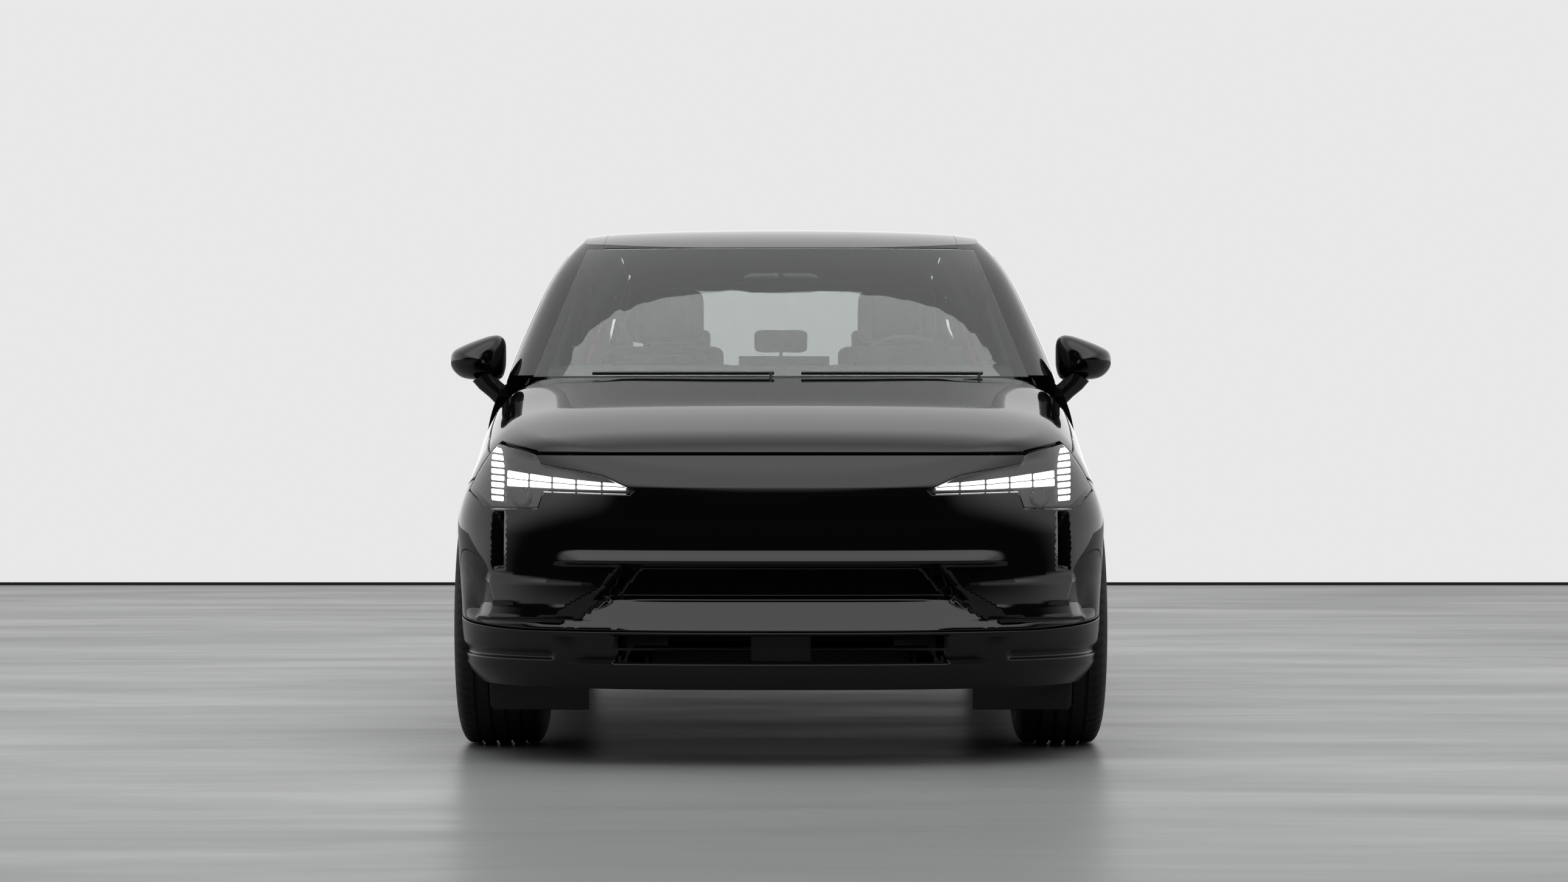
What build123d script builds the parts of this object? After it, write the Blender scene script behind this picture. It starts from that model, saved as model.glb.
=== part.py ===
"""A compact electric crossover, built as separate panels, doors, glass, wheels and underbody.

Frame: millimetres, +Z up, the origin on the ground under the middle of the car's length.
The nose points along -Y and the car's left side is +X. Left parts are drawn and mirrored.
"""

from build123d import *
from functools import cache
import math
import os

# ---------------------------------------------------------------- driving dimensions
FRONT_AXLE_Y = -1317.0
REAR_AXLE_Y = 1333.0
WHEEL_X = 790.0  # centre plane of each wheel
TYRE_R = 351.5
BEAD_R = 241.0  # 19-inch bead seat
DISC_R = 165.0
STUB_R = 24.0
BALL_JOINT = (735.0, 200.0)  # x, z of the lower end of the steering axis
ARCH_R = 392.0  # radius of the wheel opening in the skin
LINER_R = 418.0  # inner radius of a wheel arch liner
LINER_T = 4.0

SKIN = 22.0  # depth of a bumper, fender or bonnet skin with its flange
DOOR_SKIN = 25.0
DOOR_DEPTH = 95.0
FRAME_SKIN = 14.0
FRAME_DEPTH = 50.0
GLASS_T = 6.0
GAP = 3.0  # half of the shut gap round a moving panel
JOIN = 1.0  # half of the joint between two fixed panels
BELT_Z = 1020.0  # top of the door skin
FAR = 1400.0  # past the side of the car

# Sections of the body: (height, value) or (station, value) pairs, joined by smooth curves.
DOOR_SECTION = [(150, 790), (190, 815), (230, 850), (300, 880), (420, 890), (560, 898), (700, 903),
                (800, 903), (880, 898), (950, 885), (1000, 866), (1060, 836), (1120, 800)]
NOSE_PROFILE = [(150, -2030), (205, -2064), (280, -2097), (362, -2116), (450, -2108), (560, -2096),
                (660, -2082), (758, -2062), (880, -2040), (1000, -2020), (1120, -2000)]
TAIL_PROFILE = [(150, 2010), (220, 2062), (350, 2104), (450, 2115), (550, 2116), (620, 2110),
                (700, 2088), (800, 2068), (900, 2052), (1000, 2030), (1120, 1995)]
BONNET_PROFILE = [(-2200, 560), (-2116, 690), (-2062, 758), (-1985, 838), (-1840, 905), (-1600, 962),
                  (-1300, 1008), (-1080, 1040), (-980, 1054), (-700, 1072), (-400, 1085)]
GLASS_SECTION = [(960, 862), (1000, 852), (1069, 833), (1140, 811), (1211, 785), (1333, 739),
                 (1420, 697), (1480, 655), (1525, 612), (1570, 560)]
SCREEN_PROFILE = [(960, -1165), (1054, -1000), (1200, -752), (1350, -488), (1468, -268), (1570, -60)]
BACKLIGHT_PROFILE = [(960, 2040), (1060, 1985), (1180, 1916), (1300, 1846), (1420, 1775), (1500, 1728),
                     (1570, 1686)]
ROOF_PROFILE = [(-500, 1392), (-268, 1468), (-100, 1510), (100, 1540), (320, 1549), (700, 1544),
                (1100, 1525), (1500, 1495), (1800, 1468), (2100, 1440)]


def smooth(knots):
    """A natural cubic curve through (position, value) pairs, held level past both ends."""
    xs = [k[0] for k in knots]
    ys = [k[1] for k in knots]
    n = len(xs)
    h = [xs[i + 1] - xs[i] for i in range(n - 1)]
    diag, up, rhs = [1.0] * n, [0.0] * n, [0.0] * n
    for i in range(1, n - 1):
        low = h[i - 1] / diag[i - 1]
        diag[i] = 2 * (h[i - 1] + h[i]) - low * up[i - 1]
        up[i] = h[i]
        slope = (ys[i + 1] - ys[i]) / h[i] - (ys[i] - ys[i - 1]) / h[i - 1]
        rhs[i] = 6 * slope - low * rhs[i - 1]
    bend = [0.0] * n
    for i in range(n - 2, 0, -1):
        bend[i] = (rhs[i] - up[i] * bend[i + 1]) / diag[i]

    def value(x):
        x = min(max(x, xs[0]), xs[-1])
        i = 0
        while i < n - 2 and x > xs[i + 1]:
            i += 1
        t = x - xs[i]
        first = (ys[i + 1] - ys[i]) / h[i] - h[i] * (2 * bend[i] + bend[i + 1]) / 6
        return ys[i] + t * first + t * t * bend[i] / 2 + t**3 * (bend[i + 1] - bend[i]) / (6 * h[i])

    return value


door_section = smooth(DOOR_SECTION)
nose_y = smooth(NOSE_PROFILE)
tail_y = smooth(TAIL_PROFILE)
bonnet_centre = smooth(BONNET_PROFILE)
glass_section = smooth(GLASS_SECTION)
screen_y = smooth(SCREEN_PROFILE)
backlight_y = smooth(BACKLIGHT_PROFILE)
roof_centre = smooth(ROOF_PROFILE)


def ramp(value, low, high):
    """0 below low, 1 above high and a smooth step between them."""
    t = min(max((value - low) / (high - low), 0.0), 1.0)
    return t * t * (3 - 2 * t)


def hump(value, centre, width):
    """A bell of height 1."""
    return math.exp(-(((value - centre) / width) ** 2))


def half_width(y, z):
    """Half of the lower body's width, before its ends round off."""
    w = door_section(z)
    w += 14 * hump(y, FRONT_AXLE_Y, 420) * (1 - ramp(z, 650, 850))
    w += 18 * hump(y, REAR_AXLE_Y, 480) * (1 - ramp(z, 800, 1050))
    w -= 58 * max(0.0, (-500 - y) / 817) ** 1.5 * ramp(z, 620, 980)
    w -= 28 * max(0.0, (-1100 - y) / 900) ** 2
    w -= 40 * max(0.0, (y - 900) / 1200) ** 2
    return w


def glass_width(y, z):
    """Half of the greenhouse's width, before its ends round off."""
    w = glass_section(z)
    w -= 18 * max(0.0, (-100 - y) / 700) ** 2
    w -= 70 * max(0.0, (y - 500) / 1400) ** 2
    return w


def bonnet_z(x, y):
    """Height of the bonnet's surface: its crown squares up towards the windscreen."""
    u = abs(x) / 800
    back = ramp(y, -1500, -900)
    return bonnet_centre(y) - (14 - 8 * back) * u**2 - 46 * u ** (6 + 6 * back)


def roof_z(x, y):
    """Height of the roof's surface."""
    u = abs(x) / 600
    return roof_centre(y) - 13 * u**2 - 6 * u**8


def ring(z, width, front, rear, front_round, rear_round, power, sides):
    """Closed plan outline at height z as (x, y) points: superellipse ends and free sides."""
    steps = 6
    right = []
    for end, length, sign in ((front, front_round, 1), (rear, rear_round, -1)):
        points = []
        for i in range(steps + 1):
            angle = math.pi / 2 * i / steps
            along = 1 - max(math.cos(angle), 0.0) ** (2 / power) if i < steps else 1.0
            y = end + sign * length * along
            points.append((width(y, z) * math.sin(angle) ** (2 / power), y))
        right += points if sign == 1 else points[::-1]
        if sign == 1:
            right += [(width(y, z), y) for y in sides]
    return right + [(-x, y) for x, y in reversed(right[1:-1])]


def lower_ring(z, inset):
    """Plan outline of the lower body, drawn in by inset."""
    return ring(z, lambda y, h: half_width(y, h) - inset, nose_y(z) + inset, tail_y(z) - inset,
                430, 380, 2.6, (-1400, -1100, -700, -300, 200, 700, 1100, 1400))


def glass_ring(z, inset):
    """Plan outline of the greenhouse, drawn in by inset."""
    length = 260 - 60 * ramp(z, 1054, 1468)
    front, rear = screen_y(z) + inset, backlight_y(z) - inset
    sides = [front + length + (rear - 230 - front - length) * k / 5 for k in range(1, 5)]
    return ring(z, lambda y, h: glass_width(y, h) - inset, front, rear, length, 230, 2.3, sides)


def spacing(points):
    """Spline parameters for a closed outline: the running length, from 0 to 1."""
    run = [0.0]
    for start, end in zip(points, points[1:] + points[:1]):
        run.append(run[-1] + math.dist(start, end))
    return [length / run[-1] for length in run]


def hull(outline, inset, levels):
    """A solid lofted through the plan outlines at the given heights, with shared spline parameters."""
    shared = spacing(outline(levels[len(levels) // 2], inset))
    with BuildPart() as body:
        for z in levels:
            with BuildSketch(Plane.XY.offset(z)):
                with BuildLine():
                    add(Edge.make_spline(outline(z, inset), periodic=True, parameters=shared))
                make_face()
        loft()
    return body.part


def under_surface(height, stations, drop, reach):
    """The space below a height(x, y) surface lowered by drop."""
    across = [reach * k / 8 for k in range(-8, 9)]
    face = Face.make_surface_from_array_of_points(
        [[(x, y, height(x, y) - drop) for x in across] for y in stations])
    with BuildPart() as space:
        extrude(face, amount=-1000, dir=(0, 0, 1))
    return space.part


def prism(plane, points, depth, grow=0.0, round_to=0.0):
    """Points joined by straight lines, grown by grow, rounded and extruded both ways by depth."""
    with BuildPart() as block:
        with BuildSketch(plane):
            with BuildLine():
                Polyline(*points, close=True)
            make_face()
            if round_to:
                fillet(vertices(), radius=round_to)
            if grow:
                offset(amount=grow, kind=Kind.INTERSECTION)
        extrude(amount=depth, both=True)
    return block.part


def side_prism(points, grow=0.0, round_to=0.0):
    """A prism over the left side, from (y, z) points."""
    return prism(Plane.YZ.offset(FAR / 2 + 5), points, FAR / 2, grow, round_to)


def across_prism(points, grow=0.0, round_to=0.0):
    """A prism right across the car, from (y, z) points."""
    return prism(Plane.YZ, points, FAR, grow, round_to)


def front_prism(points, y_from, y_to, grow=0.0, round_to=0.0):
    """A prism along the car between two stations, from (x, z) points."""
    middle = (y_from + y_to) / 2
    return prism(Plane.XZ.offset(-middle), points, abs(y_to - y_from) / 2, grow, round_to)


def box(x0, x1, y0, y1, z0, z1, edge=0.0):
    """A box between two corners, with its edges rounded by edge."""
    with BuildPart() as block:
        with Locations(((x0 + x1) / 2, (y0 + y1) / 2, (z0 + z1) / 2)):
            Box(x1 - x0, y1 - y0, z1 - z0)
        if edge:
            fillet(block.edges(), radius=edge)
    return block.part


def rod(start, end, radius):
    """A round bar between two points."""
    a, b = Vector(*start), Vector(*end)
    with BuildPart() as bar:
        with BuildSketch(Plane(a, z_dir=b - a)):
            Circle(radius)
        extrude(amount=(b - a).length)
    return bar.part


def axle_cylinder(y, radius, x0, x1, z=TYRE_R):
    """A cylinder along X about a wheel's axis."""
    with BuildPart() as drum:
        with BuildSketch(Plane.YZ.offset(x0)):
            with Locations((y, z)):
                Circle(radius)
        extrude(amount=x1 - x0)
    return drum.part


def joined(*pieces):
    """The union of some solids."""
    with BuildPart() as whole:
        for piece in pieces:
            add(piece)
    return whole.part


def cut(piece, *tools):
    """A solid with others taken out of it."""
    with BuildPart() as rest:
        add(piece)
        for tool in tools:
            add(tool, mode=Mode.SUBTRACT)
    return rest.part


def common(piece, *others):
    """What several solids share."""
    with BuildPart() as shared:
        add(piece)
        for other in others:
            add(other, mode=Mode.INTERSECT)
    return shared.part


def mirrored(piece):
    """The same piece on the car's other side."""
    with BuildPart() as other:
        mirror(piece, about=Plane.YZ)
    return other.part


def save(name, piece):
    """Labels a piece and writes it as its own node."""
    solids = piece.solids()
    part = Part(solids[0].wrapped) if len(solids) == 1 else Part(Compound(children=solids).wrapped)
    part.label = name
    export_step(part, os.path.join("parts", name + ".step"))


def save_pair(name, piece):
    """Writes a left piece and its mirror image."""
    save(name + "_left", piece)
    save(name + "_right", mirrored(piece))


# ---------------------------------------------------------------- body volumes
NOSE_LEVELS = (190, 280, 362, 480, 620, 758, 880, 960, 1030, 1100)
SIDE_LEVELS = (190, 280, 362, 480, 620, 758, 880, 960, BELT_Z)
GLASS_LEVELS = (1000, 1069, 1180, 1300, 1420, 1500, 1570)
BONNET_STATIONS = (-2200, -2150, -2100, -2062, -2020, -1985, -1920, -1840, -1720, -1600, -1450, -1300,
                   -1150, -1000, -800, -500)
ROOF_STATIONS = (-480, -380, -268, -180, -100, 0, 100, 320, 700, 1100, 1500, 1800, 2050)


@cache
def nose(inset):
    """The front of the lower body under the bonnet's surface, drawn in by inset."""
    return common(hull(lower_ring, inset, NOSE_LEVELS),
                  under_surface(bonnet_z, BONNET_STATIONS, inset, 1000))


@cache
def lower(inset):
    """The lower body up to the window line, drawn in by inset."""
    return hull(lower_ring, inset, SIDE_LEVELS)


@cache
def glass(inset):
    """The volume above the window line before the roof cuts it, drawn in by inset."""
    return hull(glass_ring, inset, GLASS_LEVELS)


@cache
def under_roof(drop):
    """The space under the roof's surface lowered by drop."""
    return under_surface(roof_z, ROOF_STATIONS, drop, 800)


def layer(region, volume, outer, inner):
    """The part of a region that lies between two insets of a body volume."""
    return cut(common(region, volume(outer)), volume(inner))


def outside(region, volume, inset):
    """The part of a region outboard of a body volume's inset."""
    return cut(region, volume(inset))


# ---------------------------------------------------------------- shut lines, as (y, z) or (x, z) points
FRONT_DOOR = [(-730, 300), (325, 300), (345, 620), (345, 1010), (300, 1483), (130, 1487), (-110, 1440),
              (-420, 1255), (-730, 1035)]
FRONT_DOOR_INNER = [(-700, 330), (290, 330), (300, 1000), (262, 1440), (120, 1445), (-110, 1392),
                    (-400, 1215), (-700, 1000)]
FRONT_WINDOW = [(-560, 1035), (275, 1035), (240, 1405), (110, 1410), (-95, 1368), (-380, 1192)]
REAR_DOOR = [(331, 300), (900, 300), (945, 480), (1060, 640), (1185, 780), (1235, 1010), (1075, 1395),
             (760, 1465), (306, 1483), (351, 1010), (351, 620)]
REAR_DOOR_INNER = [(395, 330), (850, 330), (905, 520), (1010, 690), (1120, 830), (1180, 1000),
                   (1020, 1350), (740, 1418), (362, 1432), (405, 1000)]
REAR_WINDOW = [(420, 1035), (1130, 1050), (1000, 1320), (735, 1390), (385, 1402)]
SIDE_REGION = [(-885, 200), (935, 200), (935, 306), (1600, 480), (1725, 540), (2200, 617), (2200, 1570),
               (-300, 1570), (-1000, 1058), (-748, 1058), (-748, 1022), (-731, 988), (-731, 306), (-885, 306)]
FENDER_REGION = [(-1490, 722), (-1800, 782), (-1800, 1000), (-760, 1040), (-732, 984), (-732, 306),
                 (-960, 306), (-1317, 500)]
BONNET_REGION = [(-2200, 838), (-1795, 838), (-1740, 836), (-1500, 880), (-1200, 925), (-900, 965),
                 (-750, 985), (-750, 1200), (-2200, 1200)]
BUMPER_REGION = [(-2200, 364), (-2000, 366), (-1690, 392), (-1400, 392), (-1490, 718), (-1800, 778),
                 (-1800, 834), (-2200, 834)]
LOWER_BUMPER_REGION = [(-2200, 205), (-1700, 205), (-1650, 388), (-1690, 388), (-2000, 362), (-2200, 360)]
REAR_BUMPER_REGION = [(1600, 205), (2200, 205), (2200, 617), (1725, 540), (1600, 480)]
HEADLAMP = [(389, 739), (480, 778), (652, 809), (668, 838), (812, 872), (905, 840), (905, 770), (800, 685),
            (655, 687), (640, 733), (402, 727)]
HEADLAMP_BACK_Y = -1735
LOWER_INTAKE = [(-456, 281), (456, 281), (456, 352), (-456, 352)]
WINDSCREEN = [(-742, 1054), (742, 1054), (618, 1466), (-618, 1466)]
BACK_GLASS = [(-505, 1090), (505, 1090), (560, 1180), (490, 1395), (-490, 1395), (-560, 1180)]
TAILGATE = [(-600, 624), (600, 624), (700, 760), (715, 1000), (640, 1200), (560, 1440), (560, 1600),
            (-560, 1600), (-560, 1440), (-640, 1200), (-715, 1000), (-700, 760)]
TAIL_LAMP = [(730, 720), (900, 700), (900, 960), (735, 940)]
UPPER_TAIL_LAMP = [(705, 1090), (760, 1090), (650, 1370), (610, 1370)]
TAILGATE_FRONT_Y = 1606
CHARGE_LID = [(1440, 800), (1590, 800), (1590, 930), (1440, 930)]
CHARGE_SOCKET = (1515, 865)
LOW_SEAL = 12.0  # gap round a door's inner box, below and above the window line
HIGH_SEAL = 25.0


# ---------------------------------------------------------------- panels
FRONT_ARCH = axle_cylinder(FRONT_AXLE_Y, ARCH_R, 440, 1000)
REAR_ARCH = axle_cylinder(REAR_AXLE_Y, ARCH_R, 440, 1000)
LAMP_SPACE = front_prism(HEADLAMP, -2160, HEADLAMP_BACK_Y)


def both(piece):
    """A left tool and its mirror image together."""
    return joined(piece, mirrored(piece))


def build_bonnet():
    """The clamshell bonnet, from the nose cut line to the windscreen's base."""
    lamps = front_prism(HEADLAMP, -2165, HEADLAMP_BACK_Y + GAP, grow=2 * GAP)
    region = cut(across_prism(BONNET_REGION, grow=-GAP), both(lamps))
    return cut(layer(region, nose, 0, SKIN), hull(glass_ring, -14, (960, 1069, 1180)))


def build_front_bumper():
    """The body-coloured nose between the bonnet line and the lower ledge, with its recessed mouth."""
    mouth_side = [(-2160, 545), (-2160, 450), (-2062, 470), (-2062, 512)]
    mouth_front = [(-560, 400), (560, 400), (430, 560), (-430, 560)]
    notch = common(across_prism(mouth_side), front_prism(mouth_front, -2200, -2000))
    pocket = common(across_prism(mouth_side, grow=14), front_prism(mouth_front, -2200, -2000, 14))
    region = cut(across_prism(BUMPER_REGION, grow=-JOIN), both(LAMP_SPACE), both(FRONT_ARCH))
    return cut(joined(layer(region, nose, 0, SKIN), common(pocket, nose(2))), notch)


def build_front_lower_bumper():
    """The dark lower nose with its intake, radar cover, cross slat and wheel deflectors."""
    region = cut(across_prism(LOWER_BUMPER_REGION, grow=-JOIN), both(FRONT_ARCH),
                 front_prism(LOWER_INTAKE, -2200, -1900))
    slat = box(-470, 470, -2085, -2070, 312, 318)
    radar = box(-80, 80, -2098, -2068, 270, 365)
    deflector = box(526, 800, -1790, -1772, 131, 225)
    return joined(layer(region, nose, 0, SKIN), slat, radar, both(deflector))


def build_fender():
    """The left front fender over the wheel."""
    lamp = front_prism(HEADLAMP, -2160, HEADLAMP_BACK_Y + 1.5)
    skin = layer(side_prism(FENDER_REGION, grow=-JOIN), nose, 0, SKIN)
    return cut(skin, across_prism(BONNET_REGION, grow=GAP), lamp, FRONT_ARCH)


def build_charge_lid():
    """The charging port's flap on the left rear quarter."""
    return layer(side_prism(CHARGE_LID, grow=-5, round_to=16), lower, 0, 6)


def build_charge_port():
    """The round socket at the back of the charging port's recess."""
    y, z = CHARGE_SOCKET
    return joined(axle_cylinder(y, 36, 836, 866, z=z), axle_cylinder(y, 50, 831, 838, z=z))


def build_headlamp():
    """The left lamp unit, flush with the nose."""
    return layer(front_prism(HEADLAMP, -2160, HEADLAMP_BACK_Y - JOIN, grow=-2), nose, 2, 46)


def build_door(outline, inner_outline, window):
    """A door as deep as the real one: outer skin, narrower inner box and window frame."""
    region = side_prism(outline, grow=-GAP)
    rebate = cut(side_prism(outline, grow=GAP), side_prism(inner_outline))
    panel = cut(layer(region, lower, 0, DOOR_DEPTH), common(rebate, lower(DOOR_SKIN)))
    frame = cut(layer(region, glass, 0, FRAME_DEPTH), common(rebate, glass(FRAME_SKIN)))
    return cut(joined(panel, frame), side_prism(window))


def build_side_glass(window):
    """A side window pane just inside its frame's outer face."""
    return layer(side_prism(window, grow=-0.5), glass, 3, 3 + GLASS_T)


def build_body_side():
    """Sill, pillars, roof rail and rear quarter of the left side, with both door openings."""
    skins = (side_prism(FRONT_DOOR, grow=GAP), side_prism(REAR_DOOR, grow=GAP))
    belt = box(0, 1000, -760, 1300, 999, 1100)
    tail_space = joined(front_prism(TAILGATE, 1500, 2300, grow=GAP), REAR_ARCH)
    region = cut(side_prism(SIDE_REGION, grow=-JOIN), box(-10, 640, -1300, 2300, 100, 1290), tail_space)
    low = cut(layer(region, lower, 0, DOOR_DEPTH), side_prism(FRONT_DOOR_INNER, grow=LOW_SEAL),
              side_prism(REAR_DOOR_INNER, grow=LOW_SEAL), front_prism(TAIL_LAMP, 1780, 2200, grow=JOIN),
              *[outside(skin, lower, DOOR_SKIN + 16) for skin in skins],
              *[outside(common(skin, belt), glass, FRAME_SKIN + 12) for skin in skins])
    pillar_space = joined(under_roof(0), box(0, 1000, -1100, -470, 900, 1330))
    high = cut(common(layer(region, glass, 0, FRAME_DEPTH), pillar_space),
               side_prism(FRONT_DOOR_INNER, grow=HIGH_SEAL), side_prism(REAR_DOOR_INNER, grow=HIGH_SEAL),
               *[outside(skin, glass, FRAME_SKIN + 12) for skin in skins],
               box(-10, 563, -1100, 1800, 1250, 1600),
               front_prism(UPPER_TAIL_LAMP, 1600, 2200, grow=JOIN),
               front_prism(WINDSCREEN, -1200, 0, grow=JOIN))
    return joined(low, high)


def charge_recess():
    """The space that the charging port's flap and socket stand in."""
    return cut(side_prism(CHARGE_LID, round_to=16), box(0, 830, 1400, 1640, 780, 950))


def build_roof():
    """The roof panel between the rails, from the screen header to the tailgate."""
    strip = cut(box(-562, 562, -300, TAILGATE_FRONT_Y - 6, 1380, 1600), box(-700, 700, -400, 0, 1300, 1469))
    return cut(common(strip, glass(0), under_roof(0)), under_roof(26))


def build_windscreen():
    """The laminated windscreen."""
    return layer(front_prism(WINDSCREEN, -1200, 0), glass, 0, GLASS_T)


def screen_base(x, forward):
    """Station of the windscreen's lower edge, moved forward."""
    u = abs(x) / 838
    return -1000 - forward + 258 * (1 - (1 - u**2.3) ** (1 / 2.3))


def build_cowl():
    """The black panel between bonnet and windscreen, with both parked wipers."""
    stations = [690 - 115 * k for k in range(13)]
    with BuildPart() as panel:
        with BuildSketch(Plane.XY.offset(1004)):
            with BuildLine():
                front = Spline(*[(x, screen_base(x, 10)) for x in stations])
                rear = Spline(*[(-x, screen_base(x, -20)) for x in stations])
                Line(front @ 1, rear @ 0)
                Line(rear @ 1, front @ 0)
            make_face()
        extrude(amount=26)
    spans = ((600, 420, 240, 60), (-20, -200, -390, -560))
    arms = [[(x, screen_base(x, -3), 1064) for x in span] for span in spans]
    wipers = [rod(start, end, 5) for arm in arms for start, end in zip(arm, arm[1:])]
    posts = [rod((x, screen_base(x, 14), 1026), (x, screen_base(x, 3), 1064), 4) for x in (590, -30)]
    return joined(panel.part, *posts, *wipers)


def build_rear_bumper():
    """The rear bumper round the tail's lower corners."""
    return layer(cut(across_prism(REAR_BUMPER_REGION, grow=-JOIN), both(REAR_ARCH)), lower, 0, SKIN)


def build_tailgate():
    """The tailgate with its spoiler and window opening: an outer skin and a narrower inner frame."""
    region = front_prism(TAILGATE, TAILGATE_FRONT_Y, 2200, grow=-GAP)
    rebate = cut(front_prism(TAILGATE, 1500, 2300, grow=GAP), front_prism(TAILGATE, 1400, 2300, grow=-24))
    panel = cut(layer(region, lower, 0, 60), common(rebate, lower(14)))
    frame = cut(common(layer(region, glass, 0, FRAME_DEPTH), under_roof(0)), common(rebate, glass(12)))
    wing = common(across_prism([(1612, 1452), (1612, 1485), (1860, 1476), (1872, 1468), (1860, 1460),
                                (1760, 1436)]), box(-548, 548, 1500, 2000, 1400, 1500))
    return cut(joined(panel, frame, wing), front_prism(BACK_GLASS, 1650, 2150))


def build_tailgate_glass():
    """The heated rear window."""
    return layer(front_prism(BACK_GLASS, 1650, 2150, grow=-0.5), glass, 3, 3 + GLASS_T)


def build_tail_lamps():
    """Lower corner lamps and the thin upper lamps beside the rear window."""
    low = layer(front_prism(TAIL_LAMP, 1782, 2200), lower, 2, 45)
    high = layer(front_prism(UPPER_TAIL_LAMP, 1602, 2200), glass, 2, 30)
    return both(joined(low, high))


def build_mirror():
    """The left door mirror: a rounded housing on a stalk from the door."""
    with BuildPart() as mirror_part:
        with BuildSketch(Plane.XZ.offset(610)):
            with Locations((924, 1116)):
                RectangleRounded(176, 138, 44)
        with BuildSketch(Plane.XZ.offset(655)):
            with Locations((922, 1114)):
                RectangleRounded(170, 132, 46)
        with BuildSketch(Plane.XZ.offset(705)):
            with Locations((914, 1110)):
                RectangleRounded(120, 86, 36)
        loft()
    return joined(mirror_part.part, rod((862, -650, 985), (915, -655, 1060), 14))


# ---------------------------------------------------------------- structure and underbody
def build_front_structure():
    """Firewall, side rails, strut towers and the crash beam behind the bumper."""
    firewall = common(box(-780, 780, -888, -876, 306, 1000), lower(SKIN + 8))
    rail = box(400, 452, -1950, -888, 400, 510)
    wall = box(440, 452, -1425, -1210, 500, 872)
    tower = box(452, 690, -1425, -1210, 858, 872)
    brace = [box(452, 640, y, y + 10, 790, 858) for y in (-1425, -1220)]
    side = box(744, 756, -876, -742, 306, 1000)
    beam = box(-560, 560, -2000, -1950, 410, 520)
    return joined(firewall, beam, both(joined(rail, wall, tower, side, *brace)))


def build_motor_cover():
    """The moulded cover that is seen with the bonnet open."""
    return layer(box(-700, 700, -1900, -930, 700, 1100), nose, 60, 66)


def build_floor_pan():
    """Cabin floor, kick-up, boot floor and rear panel."""
    wide = common(box(-790, 790, -890, 900, 292, 304), lower(DOOR_DEPTH + 2))
    floor = joined(wide, box(-600, 600, 890, 1002, 292, 304))
    kick_up = box(-608, 608, 990, 1002, 304, 490)
    boot = box(-608, 608, 1002, 1990, 478, 490)
    rear_panel = box(-600, 600, 1976, 1990, 300, 610)
    rails = [box(x, x + 60, 1002, 1976, 380, 478) for x in (-470, 410)]
    return joined(floor, kick_up, boot, rear_panel, *rails)


def build_battery_pack():
    """The traction battery's flat case under the floor."""
    case = box(-600, 600, -830, 880, 175, 288, edge=12)
    return joined(case, *[box(-630, 630, y, y + 60, 230, 260) for y in (-700, -200, 300, 750)])


def build_drive_motor():
    """The drive motor and its gearbox, as one plain block between the rear subframe's beams."""
    return box(-240, 240, 1176, 1490, 236, 468, edge=30)


def build_liners():
    """The four wheel arch liners."""
    pieces = []
    for y, x_in, x_out, depth, top in ((FRONT_AXLE_Y, 462, 880, SKIN + 3, 720),
                                       (REAR_AXLE_Y, 612, 880, DOOR_DEPTH + 2, 620)):
        drum = cut(axle_cylinder(y, LINER_R + LINER_T, x_in, x_out),
                   axle_cylinder(y, LINER_R, x_in + LINER_T, x_out + 10),
                   box(0, 1000, y - 500, y + 500, -100, 222),
                   box(x_in - 10, x_in + 10, y - 165, y + 165, 100, top))
        if y == FRONT_AXLE_Y:
            drum = cut(drum, box(515, 700, y - 85, y + 85, 690, 800),
                       box(440, 520, y - 165, y + 165, 700, 800))
        pieces.append(both(common(drum, lower(depth))))
    return joined(*pieces)


def build_front_axle():
    """Front subframe with its steering rack and both lower control arms."""
    cross = box(-380, 380, -1240, -1120, 216, 266, edge=8)
    legs = box(380, 430, -1560, -1060, 216, 262)
    rack = rod((-330, -1150, 290), (330, -1150, 290), 28)
    mounts = [box(x, x + 40, -1175, -1130, 262, 300) for x in (-260, 220)]
    arm = front_arm()
    return joined(cross, rack, *mounts, both(joined(legs, arm)))


def front_arm():
    """A control arm from the subframe to the steering axis's lower ball joint."""
    x, z = BALL_JOINT
    y = FRONT_AXLE_Y
    with BuildPart() as arm:
        with BuildSketch(Plane.XY.offset(z - 36)):
            with BuildLine():
                Polyline((425, y - 110), (600, y - 44), (x, y - 24), (x, y + 24), (600, y + 44),
                         (425, y + 150), (425, y + 90), (560, y), (425, y - 60), close=True)
            make_face()
        extrude(amount=20)
    return joined(arm.part, rod((x, y, z - 36), (x, y, z - 12), 24))


def build_rear_axle():
    """Rear subframe, arms, springs and dampers."""
    y = REAR_AXLE_Y
    cross = [box(-400, 400, y + k, y + k + 60, 250, 300) for k in (-225, 165)]
    legs = box(350, 400, y - 225, y + 225, 250, 300)
    lower_arm = box(398, 664, y - 30, y + 60, 232, 262)
    upper_arm = rod((390, y - 20, 296), (656, y - 20, 416), 13)
    trailing = box(630, 662, y - 360, y + 20, 262, 300)
    spring = rod((545, y + 20, 262), (545, y + 20, 470), 48)
    damper = rod((590, y + 75, 258), (580, y + 105, 470), 22)
    return joined(*cross, both(joined(legs, lower_arm, upper_arm, trailing, spring, damper)))


def caliper(y, side):
    """A brake caliper round the disc's edge, on side +1 behind or -1 ahead of the axle."""
    y0, y1 = sorted((y + side * 100, y + side * 194))
    s0, s1 = sorted((y + side * 60, y + side * (DISC_R + 8)))
    body = cut(box(746, 820, y0, y1, TYRE_R - 52, TYRE_R + 52), box(766, 800, s0, s1, 0, 600))
    b0, b1 = sorted((y + side * 30, y + side * 140))
    return joined(body, box(696, 748, b0, b1, TYRE_R - 26, TYRE_R + 26))


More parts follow.
